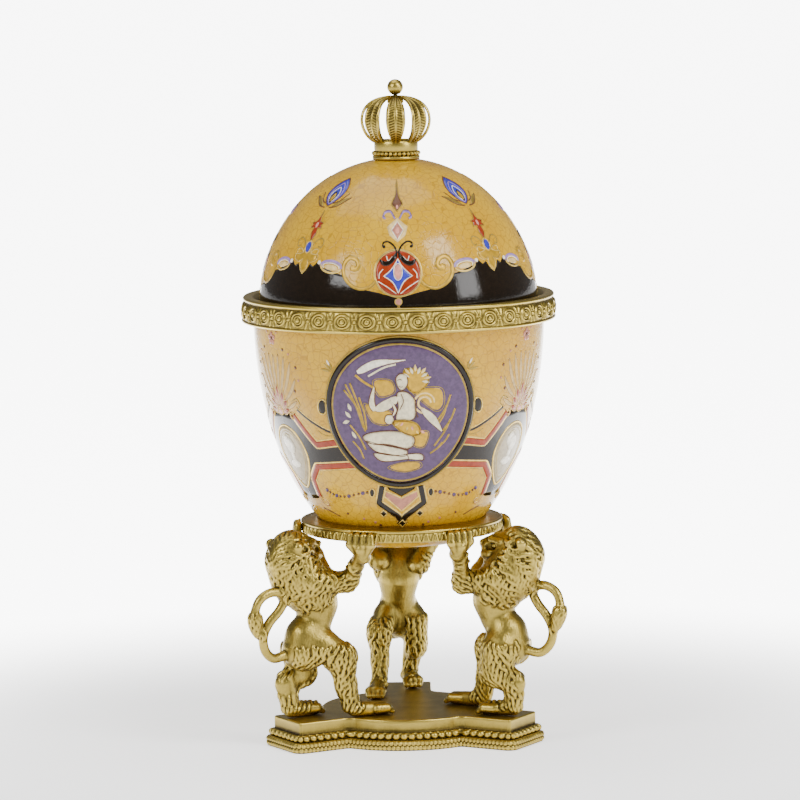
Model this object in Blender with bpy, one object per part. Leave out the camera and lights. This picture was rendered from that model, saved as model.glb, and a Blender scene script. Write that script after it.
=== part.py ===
"""Jewelled egg trinket box: a crackle-glazed ceramic egg in brass mounts, held up by three rampant lions.

The origin is on the axis at the plinth's underside. +Z is up and the front medallion faces -Y.
"""

import math

import bmesh
import bpy
from mathutils import Matrix, Vector

MM = 0.001
GAP = 0.3  # clearance between touching pieces
TURNED_STEPS = 32  # sides of the large turned pieces

# Plinth
PLATFORM_RADIUS = 38.0
LUG_PAST_LION = 11.6  # a lug's end, past the middle of the lion that stands on it
LUG_HALF_WIDTH = 12.5
LUG_FILLET = 6.0
LUG_CORNER = 1.2
FOOT_HEIGHT = 4.6
FOOT_OUT = 4.1
FOOT_BEVEL = 0.9
FOOT_UNDERCUT = 0.7
BEAD_ROW_HEIGHT = 3.2
BEAD_ROW_OUT = 1.6
BEAD_ROW_TAPER = 0.2
BEAD_OUT = 1.3
BEAD_PITCH = 3.65
BLOCK_HEIGHT = 5.6
BLOCK_CHAMFER = 0.5
PLINTH_TOP = FOOT_HEIGHT + BEAD_ROW_HEIGHT + BLOCK_HEIGHT

# Lions
LION_COUNT = 3
LION_FIRST_AZIMUTH = 90.0
LION_REACH = 81.5  # from the plinth's top to the support ring's underside
LION_STANCE = 4.0  # from the support ring's rim out to the lion's middle
LION_TRIANGLES = 960
LION_VOXEL = 0.8

# Support ring: its ledge carries the bowl where the bowl has RING_SEAT_RADIUS
RING_SEAT_RADIUS = 38.3
RING_WIDTH = 7.4
RING_RADIUS = RING_SEAT_RADIUS + GAP + RING_WIDTH
RING_BOTTOM_Z = PLINTH_TOP + LION_REACH
RING_HEIGHT = 5.8
RING_LEDGE_RISE = 1.0
RING_LIP = 0.7
RING_NECK = 0.6
RING_CLEAR = 0.1

# Egg bowl: an ellipse in profile, which drops into the support ring
BOWL_RADIUS = 66.0
BOWL_DEPTH = 115.0
BOWL_WALL = 4.0
BOWL_FOOT_RADIUS = 27.0
BOWL_RIM_RISE = 1.6
MEDALLION_RADIUS = 31.0
MEDALLION_ROLL = 1.7
MEDALLION_SINK = 0.3
MEDALLION_AZIMUTHS = (270, 90)
MEDALLION_DROP = 39.1  # the medallion's middle, below the bowl's widest ring


def bowl_depth_at(radius):
    """How far below its widest ring the bowl has this radius."""
    return BOWL_DEPTH * math.sqrt(1 - (radius / BOWL_RADIUS) ** 2)


BOWL_WIDEST_Z = RING_BOTTOM_Z + RING_HEIGHT + RING_LEDGE_RISE + bowl_depth_at(RING_SEAT_RADIUS)
BOWL_BOTTOM_Z = BOWL_WIDEST_Z - bowl_depth_at(BOWL_FOOT_RADIUS)
BOWL_RIM_Z = BOWL_WIDEST_Z + BOWL_RIM_RISE
MEDALLION_Z = BOWL_WIDEST_Z - MEDALLION_DROP

# Lid
LID_INSET = 3.3  # the lid's side stands this far inside the bowl's
LID_RADIUS = BOWL_RADIUS - LID_INSET
LID_SKIRT = 4.5
LID_HEIGHT = 61.0
LID_FLATTENING = 0.038
LID_WALL = 3.5

# Rim band, round the bowl's rim and the lid's seat
BAND_OUT = 5.8
BAND_RADIUS = BOWL_RADIUS + BAND_OUT
BAND_SKIRT = 5.6
BAND_BOTTOM_Z = BOWL_RIM_Z - BAND_SKIRT
BAND_HEIGHT = 11.6
BAND_CREST = 5.0
BAND_TOP_LIP = 2.9
BAND_RECESS_GAP = 3.1
BAND_LEDGE = 1.7
BAND_LEDGE_SHOW = 0.4
BAND_HEM = 1.0
BAND_TUCK = 1.2
ROSETTES = 39
ROSETTE_RISE = 0.45
BAND_LEDGE_Z = BOWL_RIM_Z + BAND_LEDGE
LID_SEAT_Z = BAND_LEDGE_Z + GAP
LID_SPRING_Z = LID_SEAT_Z + LID_SKIRT

# Crown
CROWN_BAND_RADIUS = 9.9
CROWN_FOOT_OUT = 0.8
CROWN_BEAD_OUT = 1.4
CROWN_BAND_HEIGHT = 7.8
CROWN_FOOT_HEIGHT = 1.4
CROWN_BEAD_HEIGHT = 2.2
CROWN_WALL = 1.8
ARCHES = 8
ARCH_OUT = 16.0
ARCH_RISE = 20.3
ARCH_WIDTH = 6.6
ARCH_FOOT_WIDTH = 4.4
ARCH_HEAD_WIDTH = 1.6
ARCH_THICK = 1.6
ARCH_SINK = 0.9
HUB_RADIUS = 3.4
HUB_HEIGHT = 2.2
BALL_RADIUS = 3.6

BRASS = (0.55, 0.42, 0.18)
GLAZE = (0.72, 0.50, 0.20)


def clear_scene():
    for obj in list(bpy.data.objects):
        bpy.data.objects.remove(obj)


def material(name, colour, metallic, roughness):
    made = bpy.data.materials.new(name)
    made.use_nodes = True
    shader = made.node_tree.nodes["Principled BSDF"]
    shader.inputs["Base Color"].default_value = (*colour, 1.0)
    shader.inputs["Metallic"].default_value = metallic
    shader.inputs["Roughness"].default_value = roughness
    return made


def add_object(name, bm, finish=None):
    """An object from a bmesh in millimetres, shaded smooth with sharp edges kept."""
    bmesh.ops.scale(bm, vec=(MM, MM, MM), verts=bm.verts)
    mesh = bpy.data.meshes.new(name)
    bm.to_mesh(mesh)
    bm.free()
    mesh.shade_smooth()
    mesh.set_sharp_from_angle(angle=math.radians(40))
    if finish:
        mesh.materials.append(finish)
    obj = bpy.data.objects.new(name, mesh)
    bpy.context.scene.collection.objects.link(obj)
    return obj


def hide(obj):
    obj.hide_render = True
    obj.display_type = "WIRE"


def bridge(bm, rings, closed):
    """Faces between each ring of vertices and the next. A ring of one vertex is a pole."""
    pairs = list(zip(rings, rings[1:]))
    if closed:
        pairs.append((rings[-1], rings[0]))
    for upper, lower in pairs:
        count = max(len(upper), len(lower))
        if count == 1:
            continue
        for i in range(count):
            j = (i + 1) % count
            above = [upper[i % len(upper)], upper[j % len(upper)]]
            below = [lower[j % len(lower)], lower[i % len(lower)]]
            bm.faces.new(list(dict.fromkeys(above + below)))
    bmesh.ops.recalc_face_normals(bm, faces=bm.faces)


def turned(profile, steps, closed=False, waves=0):
    """A turned shape from (radius, z, ripple) points. The ripple swings the radius `waves` times round."""
    bm = bmesh.new()
    rings = []
    for radius, z, ripple in profile:
        if radius == 0:
            rings.append([bm.verts.new((0, 0, z))])
            continue
        ring = []
        for i in range(steps):
            angle = 2 * math.pi * i / steps
            out = radius + ripple * math.cos(waves * angle)
            ring.append(bm.verts.new((out * math.cos(angle), out * math.sin(angle), z)))
        rings.append(ring)
    bridge(bm, rings, closed)
    return bm


def arc(centre, radius, start, end, steps):
    """Points of an arc, with angles in radians."""
    angles = [start + (end - start) * i / steps for i in range(steps + 1)]
    return [Vector((centre[0] + radius * math.cos(a), centre[1] + radius * math.sin(a))) for a in angles]


def plinth_outline(out=0.0, arc_steps=2):
    """The plinth's plan, moved outwards: a circle with three square lugs and fillets beside them."""
    circle = PLATFORM_RADIUS + out
    reach = RING_RADIUS + LION_STANCE + LUG_PAST_LION + out
    half = LUG_HALF_WIDTH + out
    corner = LUG_CORNER + out
    fillet = LUG_FILLET - out
    far = PLATFORM_RADIUS + LUG_FILLET
    side = LUG_HALF_WIDTH + LUG_FILLET
    centre = (math.sqrt(far**2 - side**2), side)
    touch = math.atan2(centre[1], centre[0])
    half_lug = arc((reach - corner, half - corner), corner, 0, math.pi / 2, arc_steps)
    half_lug += arc(centre, fillet, 1.5 * math.pi, math.pi + touch, arc_steps + 1)
    half_lug += arc((0, 0), circle, touch, math.pi / LION_COUNT, arc_steps + 1)[1:-1]
    points = []
    for lug in range(LION_COUNT):
        turn = Matrix.Rotation(math.radians(LION_FIRST_AZIMUTH + lug * 360 / LION_COUNT), 2)
        points += [turn @ Vector((p[0], -p[1])) for p in reversed(half_lug)]
        points += [turn @ p for p in half_lug]
    return points


def resampled(points, count):
    """The closed outline as `count` points at equal steps along it."""
    ends = points[1:] + points[:1]
    lengths = [(b - a).length for a, b in zip(points, ends)]
    step = sum(lengths) / count
    result = []
    along = 0.0
    passed = 0.0
    for a, b, length in zip(points, ends, lengths):
        while along < passed + length - 1e-9 and len(result) < count:
            result.append(a.lerp(b, (along - passed) / length))
            along += step
        passed += length
    return result


def perimeter(points):
    return sum((b - a).length for a, b in zip(points, points[1:] + points[:1]))


def ledge_faces(bm, upper, lower):
    """Triangles between two outlines with different numbers of points, each turning once round."""

    def turns(ring):
        first = math.atan2(ring[0].co.y, ring[0].co.x)
        angles = [(math.atan2(v.co.y, v.co.x) - first) % (2 * math.pi) for v in ring]
        return [angle if i else 0.0 for i, angle in enumerate(angles)] + [2 * math.pi]

    upper_turns = turns(upper)
    lower_turns = turns(lower)
    i = j = 0
    while i < len(upper) or j < len(lower):
        a = upper[i % len(upper)]
        b = lower[j % len(lower)]
        if j == len(lower) or (i < len(upper) and upper_turns[i + 1] <= lower_turns[j + 1]):
            i += 1
            bm.faces.new((a, b, upper[i % len(upper)]))
        else:
            j += 1
            bm.faces.new((a, b, lower[j % len(lower)]))


def stacked(layers):
    """A closed solid through outlines, each (points, z), from the top down."""
    bm = bmesh.new()
    rings = [[bm.verts.new((p[0], p[1], z)) for p in points] for points, z in layers]
    for upper, lower in zip(rings, rings[1:]):
        if len(upper) == len(lower):
            bridge(bm, [upper, lower], closed=False)
        else:
            ledge_faces(bm, upper, lower)
    bm.faces.new(rings[0])
    bm.faces.new(rings[-1])
    bmesh.ops.recalc_face_normals(bm, faces=bm.faces)
    return bm


def joined(obj, helpers):
    """Adds each helper to the object with an exact Boolean union."""
    for helper in helpers:
        hide(helper)
        union = obj.modifiers.new("join_" + helper.name, "BOOLEAN")
        union.operation = "UNION"
        union.solver = "EXACT"
        union.object = helper
    return obj


def build_plinth(finish):
    beads_top = FOOT_HEIGHT + BEAD_ROW_HEIGHT
    count = round(perimeter(plinth_outline(BEAD_ROW_OUT + BEAD_OUT)) / BEAD_PITCH)
    flat = resampled(plinth_outline(BEAD_ROW_OUT), 2 * count)
    proud = resampled(plinth_outline(BEAD_ROW_OUT + BEAD_OUT), 2 * count)
    beaded = [proud[i] if i % 2 else flat[i] for i in range(2 * count)]
    layers = [
        (plinth_outline(-BLOCK_CHAMFER), PLINTH_TOP),
        (plinth_outline(0), PLINTH_TOP - BLOCK_CHAMFER),
        (plinth_outline(0), beads_top),
        (flat, beads_top - BEAD_ROW_TAPER),
        (beaded, FOOT_HEIGHT + BEAD_ROW_HEIGHT / 2),
        (flat, FOOT_HEIGHT),
        (plinth_outline(FOOT_OUT), FOOT_HEIGHT - FOOT_BEVEL),
        (plinth_outline(FOOT_OUT), FOOT_BEVEL),
        (plinth_outline(FOOT_OUT - FOOT_UNDERCUT), 0.0),
    ]
    return add_object("plinth", stacked(layers), finish)


def ball_points(centre, radius, squeeze):
    """Points over a ball, in rings between two poles."""
    points = [Vector((0, 0, 1)), Vector((0, 0, -1))]
    for ring in range(1, 6):
        climb = math.pi * ring / 6
        for i in range(10):
            turn = 2 * math.pi * (i + 0.5 * (ring % 2)) / 10
            reach = math.sin(climb)
            points.append(Vector((reach * math.cos(turn), reach * math.sin(turn), math.cos(climb))))
    return [Vector(centre) + Vector((p.x, p.y * squeeze, p.z)) * radius for p in points]


def capsule(bm, start, end, start_radius, end_radius, squeeze=1.0):
    """A tapered limb: the hull of two balls. `squeeze` narrows it sideways about its own middle."""
    points = ball_points(start, start_radius, squeeze) + ball_points(end, end_radius, squeeze)
    limb = bmesh.new()
    hull = bmesh.ops.convex_hull(limb, input=[limb.verts.new(p) for p in points])
    loose = [v for v in hull["geom_interior"] if isinstance(v, bmesh.types.BMVert)]
    bmesh.ops.delete(limb, geom=loose, context="VERTS")
    bmesh.ops.recalc_face_normals(limb, faces=limb.faces)
    mesh = bpy.data.meshes.new("limb")
    limb.to_mesh(mesh)
    limb.free()
    bm.from_mesh(mesh)
    bpy.data.meshes.remove(mesh)


# The lion is drawn at this reach, its middle this far from the axis, on a plinth of this height
DRAWN_REACH = 81.5
DRAWN_STANCE = 50.0
DRAWN_FLOOR = 13.4


def posed(point):
    """A drawn point and radius, at the lion's real size and place."""
    rho, v, z, radius = point
    size = LION_REACH / DRAWN_REACH
    out = RING_RADIUS + LION_STANCE + (rho - DRAWN_STANCE) * size
    up = PLINTH_TOP + (z - DRAWN_FLOOR) * size
    return (out, v * size, up), radius * size


def chain(bm, points, squeeze=1.0):
    """Tapered limbs through drawn points."""
    placed = [posed(point) for point in points]
    for (start, start_radius), (end, end_radius) in zip(placed, placed[1:]):
        capsule(bm, start, end, start_radius, end_radius, squeeze)


# The lion's limbs, each point drawn as (distance from the axis, to the lion's right, height, radius)
TORSO = [
    (52, 2.3, 44.5, 9.6), (51.2, 2.3, 51.5, 8.0), (48.2, 2.3, 57.5, 8.2), (46.4, 2, 65, 9.3),
    (48.7, 1.8, 71, 10.8), (54.5, 1.5, 78, 12.0), (58.7, 2, 87.5, 10.6),
]
BACK_OF_MANE = [(62, 2.3, 85, 8.0), (60.5, 2.3, 72, 6.5)]
HEAD = [(58, 2, 88.5, 9.6), (52, 0.5, 89, 6.8), (48.4, 0.2, 86.6, 4.4)]
RIGHT_ARM = [(52, 9, 76, 6.5), (34.5, 10.5, 75.5, 4.5), (35.4, 19.7, 84, 3.4), (36.6, 26.4, 90, 3.2)]
LEFT_ARM = [(52, -5, 76, 6.5), (35.5, -7.5, 73.5, 4.5), (37.8, -13.5, 85, 3.4), (40.4, -19.4, 90, 3.2)]
RIGHT_PAW_AZIMUTH = 37.0
LEFT_PAW_AZIMUTH = -27.0
PAW_RADIUS = 3.6
PAW_GRIP = 0.5
TOE_RADIUS = 2.0
PAW_TOE_PITCH = 2.9
RIGHT_THIGH = [(46, 8, 46, 8.2), (39, 11.5, 41, 6.5), (37, 11.2, 28, 4.3), (34.5, 11.5, 19, 4.2)]
LEFT_THIGH = [(52, -4.5, 44, 8.4), (50.5, -5.4, 33.5, 6.2), (59.5, -4.0, 29, 4.9), (58.3, -2.6, 19, 4.0)]
THIGH_SQUEEZE = 0.75
RIGHT_FOOT = [(33, 12, 17, 3.6), (19, 13.4, 16.2, 3.2)]
LEFT_FOOT = [(58.0, -2.2, 17, 3.5), (45.5, -4.0, 16.4, 3.3)]
TAIL = [
    (60, 2.3, 43.5, 2.4), (64, 2.3, 43, 2.1), (69.6, 2.8, 42.5, 1.95), (74.0, 3.6, 46.6, 1.95),
    (75.1, 4.2, 52.9, 1.95), (72.2, 4.4, 58.9, 1.95), (67.2, 5.0, 64.2, 1.95), (64.6, 5.2, 69, 1.95),
    (66.2, 5.2, 72, 1.95), (71.4, 5.0, 72.8, 1.95), (76.6, 4.8, 70.2, 1.9), (78.9, 4.2, 65.2, 1.9),
    (78.6, 3.6, 59.9, 2.8), (77.2, 2.8, 54, 1.2),
]


def spine_at(z):
    """The mane's middle and radius at a height, read along the torso."""
    for lower, upper in zip(TORSO[1:], TORSO[2:]):
        if z <= upper[2]:
            share = max(0.0, (z - lower[2]) / (upper[2] - lower[2]))
            return [a + (b - a) * share for a, b in zip(lower, upper)]
    return TORSO[-1]


def mane_lock(bm, angle, top, bottom, sway):
    """One lock of hair that waves down the mane, tapering to its tip. The angle is from the face."""
    steps = 4
    points = []
    for i in range(steps + 1):
        share = i / steps
        z = top + (bottom - top) * share
        rho, v, _, radius = spine_at(z)
        turn = math.radians(180 - angle + sway * math.sin(3.5 * share))
        out = radius + 0.8
        points.append((rho + out * math.cos(turn), v - out * math.sin(turn), z, 1.9 - 1.2 * share**2))
    chain(bm, points)


def ring_paw(bm, azimuth):
    """A forepaw that grips the ring from outside, with four toes."""

    def at(turn, out, up):
        return Vector((out * math.cos(turn), out * math.sin(turn), RING_BOTTOM_Z + up))

    middle = math.radians(azimuth)
    spread = PAW_TOE_PITCH / RING_RADIUS
    palm = RING_RADIUS - PAW_GRIP
    capsule(bm, at(middle, palm, -5.0), at(middle, palm + 3.0, 0.5), PAW_RADIUS, PAW_RADIUS - 0.2)
    for toe in (-1.5, -0.5, 0.5, 1.5):
        turn = middle + toe * spread
        out = RING_RADIUS + TOE_RADIUS
        top = RING_HEIGHT - 1.2
        capsule(bm, at(turn, out, 0), at(turn, out - 0.4, top), TOE_RADIUS, TOE_RADIUS - 0.5)


def hind_paw(bm, foot):
    """A hind foot with its heel, and three toes at its tip."""
    chain(bm, foot)
    rho, v, z, _ = foot[-1]
    for toe in (-1, 0, 1):
        chain(bm, [(rho + 2, v + toe * 2.3, z - 0.3, 2.2), (rho - 2.4, v + toe * 2.7, z - 0.9, 1.7)])


def lion_mesh(finish):
    """One lion, facing the axis along -X, as a single closed skin."""
    bm = bmesh.new()
    chain(bm, TORSO)
    chain(bm, BACK_OF_MANE)
    chain(bm, HEAD)
    for ear in (-1, 1):
        chain(bm, [(60, 2 + ear * 8.0, 91, 3.0), (61, 2 + ear * 9.5, 94, 1.8)])
        chain(bm, [(53, 0.7 + ear * 3.5, 93.0, 2.6), (50, 0.5 + ear * 2.0, 92.2, 1.8)])
    chain(bm, [(52.5, 0.6, 83.5, 4.0), (49.2, 0.3, 82.6, 2.9)])
    chain(bm, RIGHT_ARM)
    chain(bm, LEFT_ARM)
    chain(bm, RIGHT_THIGH, THIGH_SQUEEZE)
    chain(bm, LEFT_THIGH, THIGH_SQUEEZE)
    chain(bm, TAIL)
    ring_paw(bm, RIGHT_PAW_AZIMUTH)
    ring_paw(bm, LEFT_PAW_AZIMUTH)
    hind_paw(bm, RIGHT_FOOT)
    hind_paw(bm, LEFT_FOOT)
    for side in (-1, 1):
        for k in range(5):
            mane_lock(bm, side * (72 + 24 * k), 95 - k, 77 - 2 * k, 14 * side)
            mane_lock(bm, side * (60 + 26 * k), 80 - k, 64 - k, -12 * side)
        mane_lock(bm, side * 18, 80, 63, 10 * side)
    rough = add_object("lion_rough", bm, finish)
    skin = rough.modifiers.new("skin", "REMESH")
    skin.mode = "VOXEL"
    skin.voxel_size = LION_VOXEL * MM
    smooth = rough.modifiers.new("smooth", "SMOOTH")
    smooth.iterations = 2
    faces = len(evaluated_mesh(rough).polygons)
    thin = rough.modifiers.new("thin", "DECIMATE")
    thin.ratio = LION_TRIANGLES / (2 * faces)
    floor = bmesh.new()
    side = 3 * RING_RADIUS
    bmesh.ops.create_cube(floor, size=side)
    bmesh.ops.translate(floor, vec=(side / 2, 0, PLINTH_TOP + GAP - side / 2), verts=floor.verts)
    above = RING_BOTTOM_Z + 2 * RING_HEIGHT
    ring_room = turned(
        [
            (0, above, 0),
            (RING_RADIUS + GAP, above, 0),
            (RING_RADIUS + GAP, RING_BOTTOM_Z - GAP, 0),
            (0, RING_BOTTOM_Z - GAP, 0),
        ],
        64,
    )
    for cutter in (add_object("floor_room", floor), add_object("ring_room", ring_room)):
        hide(cutter)
        cut = rough.modifiers.new("cut_" + cutter.name, "BOOLEAN")
        cut.operation = "DIFFERENCE"
        cut.solver = "EXACT"
        cut.object = cutter
    mesh = evaluated_mesh(rough)
    mesh.name = "lion"
    bpy.data.objects.remove(rough)
    return mesh


def evaluated_mesh(obj):
    """A copy of the object's mesh with its modifiers worked out."""
    graph = bpy.context.evaluated_depsgraph_get()
    graph.update()
    return bpy.data.meshes.new_from_object(obj.evaluated_get(graph), depsgraph=graph)


def build_lions(finish):
    mesh = lion_mesh(finish)
    for i, name in enumerate(("lion_back", "lion_front_left", "lion_front_right")):
        lion = bpy.data.objects.new(name, mesh)
        lion.rotation_euler.z = math.radians(LION_FIRST_AZIMUTH + i * 360 / LION_COUNT)
        bpy.context.scene.collection.objects.link(lion)


def bowl_radius(z):
    """The bowl's outer radius: an ellipse in profile."""
    return BOWL_RADIUS * math.sqrt(1 - ((BOWL_WIDEST_Z - z) / BOWL_DEPTH) ** 2)


def build_support_ring(finish):
    top = RING_BOTTOM_Z + RING_HEIGHT
    ledge = top + RING_LEDGE_RISE
    middle = RING_BOTTOM_Z + RING_HEIGHT / 2
    profile = [
        (bowl_radius(ledge) + GAP, ledge, 0),
        (RING_RADIUS - 2 * RING_NECK, top, 0),
        (RING_RADIUS, top - RING_LIP, 0),
        (RING_RADIUS - RING_NECK, top - 2 * RING_LIP, 0),
        (RING_RADIUS - RING_NECK, RING_BOTTOM_Z + 2 * RING_LIP, 0),
        (RING_RADIUS - 2 * RING_NECK, RING_BOTTOM_Z, 0),
        (bowl_radius(RING_BOTTOM_Z) + GAP, RING_BOTTOM_Z, 0),
        (bowl_radius(middle) + GAP + RING_CLEAR, middle, 0),
    ]
    return add_object("support_ring", turned(profile, TURNED_STEPS, closed=True), finish)


def medallion_roll(azimuth):
    """The raised round frame of a medallion, laid on the bowl's outside as a closed tube."""
    bm = bmesh.new()
    around, sides = 24, 4
    rings = []
    for i in range(around):
        turn = 2 * math.pi * i / around
        across = MEDALLION_RADIUS * math.cos(turn)
        up = MEDALLION_RADIUS * math.sin(turn)
        slope = math.hypot(1, medallion_lean())
        z = MEDALLION_Z + up / slope
        ring = []
        for k in range(sides):
            lift = 2 * math.pi * k / sides
            away = MEDALLION_ROLL * math.sin(lift)
            wider = 1 + MEDALLION_ROLL * math.cos(lift) / MEDALLION_RADIUS
            height = MEDALLION_Z + (z - MEDALLION_Z) * wider
            out = bowl_radius(z) - MEDALLION_SINK + away
            angle = math.radians(azimuth) + across * wider / bowl_radius(MEDALLION_Z)
            ring.append(bm.verts.new((out * math.cos(angle), out * math.sin(angle), height)))
        rings.append(ring)
    bridge(bm, rings, closed=True)
    return bm


def medallion_lean():
    """How far the bowl's side leans outwards for each step up, at the medallion's middle."""
    return (bowl_radius(MEDALLION_Z + 1) - bowl_radius(MEDALLION_Z - 1)) / 2


def build_bowl(finish):
    rows = 7
    outer = []
    for i in range(rows + 1):
        share = math.sin(0.5 * math.pi * i / rows)
        z = BOWL_RIM_Z - GAP - (BOWL_RIM_Z - GAP - BOWL_BOTTOM_Z) * share
        outer.append((bowl_radius(z), z, 0))
    floor_z = BOWL_BOTTOM_Z + BOWL_WALL
    inner = []
    inner_rows = 4
    for i in range(inner_rows + 1):
        share = math.cos(0.5 * math.pi * i / inner_rows)
        z = BOWL_RIM_Z - GAP - (BOWL_RIM_Z - GAP - floor_z) * share
        inner.append((bowl_radius(z) - BOWL_WALL, z, 0))
    profile = [*outer, (0, BOWL_BOTTOM_Z, 0), (0, floor_z, 0), *inner]
    bowl = add_object("bowl", turned(profile, TURNED_STEPS, closed=True), finish)
    rolls = []
    for azimuth in MEDALLION_AZIMUTHS:
        rolls.append(add_object(f"medallion_roll_{azimuth}", medallion_roll(azimuth), finish))
    return joined(bowl, rolls)


def band_inner_radius():
    """The upper recess of the band, round the lid."""
    return LID_RADIUS + BAND_RECESS_GAP


def build_rim_band(finish):
    top = BAND_BOTTOM_Z + BAND_HEIGHT
    under = BOWL_RADIUS + GAP
    ledge_radius = LID_RADIUS - LID_WALL - BAND_LEDGE_SHOW
    profile = [
        (band_inner_radius(), top, 0),
        (band_inner_radius() + BAND_TOP_LIP, top, 0),
        (BAND_RADIUS - ROSETTE_RISE, BAND_BOTTOM_Z + BAND_CREST, ROSETTE_RISE),
        (BAND_RADIUS - BAND_TUCK, BAND_BOTTOM_Z + BAND_HEM, 0),
        (under + BAND_TUCK, BAND_BOTTOM_Z, 0),
        (under, BAND_BOTTOM_Z, 0),
        (under, BOWL_RIM_Z, 0),
        (ledge_radius, BOWL_RIM_Z, 0),
        (ledge_radius, BAND_LEDGE_Z, 0),
        (band_inner_radius(), BAND_LEDGE_Z, 0),
    ]
    return add_object("rim_band", turned(profile, 2 * ROSETTES, closed=True, waves=ROSETTES), finish)


def lid_point(climb, inset=0.0):
    """The dome's outline at an angle up from its widest ring, moved in by a wall."""
    flatter = 1 - LID_FLATTENING * math.sin(2 * climb)
    radius = (LID_RADIUS - inset) * math.cos(climb) * flatter
    return radius, LID_SPRING_Z + (LID_HEIGHT - inset) * math.sin(climb)


def lid_top_at(radius):
    """The height of the dome's outside near its top."""
    climb = math.acos(radius / LID_RADIUS)
    return lid_point(climb)[1]


def build_lid(finish):
    rows = 7
    outer = [(0, LID_SPRING_Z + LID_HEIGHT, 0)]
    outer += [(*lid_point(0.5 * math.pi * (1 - i / rows)), 0) for i in range(1, rows + 1)]
    outer.append((LID_RADIUS, LID_SEAT_Z, 0))
    inner_rows = 4
    inner = [(LID_RADIUS - LID_WALL, LID_SEAT_Z, 0)]
    inner += [(*lid_point(0.5 * math.pi * i / inner_rows, LID_WALL), 0) for i in range(inner_rows)]
    inner.append((0, LID_SPRING_Z + LID_HEIGHT - LID_WALL, 0))
    return add_object("lid", turned(outer + inner, TURNED_STEPS), finish)


def crown_base_z():
    return lid_top_at(0) + GAP


def arch_foot():
    """Where an arch's path starts, as (radius, z), inside the crown's band."""
    return Vector((CROWN_BAND_RADIUS - ARCH_SINK, crown_base_z() + CROWN_BAND_HEIGHT - ARCH_SINK))


def crown_arch(bm, azimuth):
    """One arch: a flat strip swept up a bowed path from the crown's band to its hub."""
    foot = arch_foot()
    bow = ARCH_OUT - CROWN_BAND_RADIUS
    head = foot + Vector((2.0 - foot[0], ARCH_RISE))
    low = foot + Vector((1.35 * bow, 0.18 * ARCH_RISE))
    high = foot + Vector((1.74 * bow, 0.97 * ARCH_RISE))
    steps = 6
    rings = []
    for i in range(steps + 1):
        t = i / steps
        s = 1 - t
        path = foot * s**3 + low * 3 * s * s * t + high * 3 * s * t * t + head * t**3
        run = (low - foot) * s * s + (high - low) * 2 * s * t + (head - high) * t * t
        out = Vector((run[1], -run[0])).normalized() * ARCH_THICK / 2
        half = 0.5 * (ARCH_FOOT_WIDTH * s + ARCH_HEAD_WIDTH * t + ARCH_WIDTH * math.sin(math.pi * t) ** 1.3)
        ring = []
        for side, face in ((-1, 1), (1, 1), (1, -1), (-1, -1)):
            point = path + out * face
            ring.append(bm.verts.new((point[0], side * half * (1.0 if face > 0 else 0.85), point[1])))
        rings.append(ring)
    bridge(bm, rings, closed=False)
    bm.faces.new(rings[0])
    bm.faces.new(rings[-1])
    bmesh.ops.recalc_face_normals(bm, faces=bm.faces)
    bmesh.ops.rotate(bm, matrix=Matrix.Rotation(math.radians(azimuth), 3, "Z"), verts=bm.verts)


def build_crown(finish):
    base = crown_base_z()
    foot_radius = CROWN_BAND_RADIUS + CROWN_FOOT_OUT
    bead_z = base + CROWN_FOOT_HEIGHT + CROWN_BEAD_HEIGHT
    band_top = base + CROWN_BAND_HEIGHT
    foot_profile = [
        (0, base, 0),
        (foot_radius / 2, lid_top_at(foot_radius / 2) + GAP, 0),
        (foot_radius, lid_top_at(foot_radius) + GAP, 0),
        (foot_radius, base + CROWN_FOOT_HEIGHT, 0),
        (CROWN_BAND_RADIUS, bead_z - CROWN_BEAD_HEIGHT / 2, 0),
        (CROWN_BAND_RADIUS + CROWN_BEAD_OUT, bead_z, 0),
        (CROWN_BAND_RADIUS, bead_z + CROWN_BEAD_HEIGHT / 2, 0),
        (CROWN_BAND_RADIUS, band_top, 0),
        (CROWN_BAND_RADIUS - CROWN_WALL, band_top, 0),
        (0, band_top - CROWN_WALL, 0),
    ]
    crown = add_object("crown_finial", turned(foot_profile, 18), finish)
    hub_z = arch_foot()[1] + ARCH_RISE
    ball_z = hub_z + HUB_HEIGHT / 2 + 0.92 * BALL_RADIUS
    hub_profile = [
        (0, hub_z - HUB_HEIGHT, 0),
        (HUB_RADIUS, hub_z - 0.7 * HUB_HEIGHT, 0),
        (HUB_RADIUS, hub_z, 0),
        (HUB_RADIUS / 2, hub_z + HUB_HEIGHT / 4, 0),
        (0.85 * BALL_RADIUS, ball_z - 0.5 * BALL_RADIUS, 0),
        (BALL_RADIUS, ball_z, 0),
        (0.75 * BALL_RADIUS, ball_z + 0.66 * BALL_RADIUS, 0),
        (0, ball_z + BALL_RADIUS, 0),
    ]
    helpers = [add_object("crown_hub", turned(hub_profile, 12), finish)]
    for i in range(ARCHES):
        arch = bmesh.new()
        crown_arch(arch, 270 + i * 360 / ARCHES)
        helpers.append(add_object(f"crown_arch_{i}", arch, finish))
    return joined(crown, helpers)


def main():
    clear_scene()
    brass = material("brass", BRASS, 1.0, 0.35)
    glaze = material("crackle_glaze", GLAZE, 0.0, 0.12)
    build_plinth(brass)
    build_lions(brass)
    build_support_ring(brass)
    build_bowl(glaze)
    build_rim_band(brass)
    build_lid(glaze)
    build_crown(brass)


main()
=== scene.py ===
"""Looks of a jewelled egg trinket box: crackle-glazed, enamelled ceramic in aged brass mounts.

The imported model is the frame. Each operator below makes one piece, or a group of like pieces, around it.
Lengths in this file are millimetres unless a name says otherwise.
"""

import math

import bmesh
import bpy
import numpy as np
from bpy.props import FloatProperty, FloatVectorProperty, PointerProperty
from mathutils import Matrix, Vector


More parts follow.
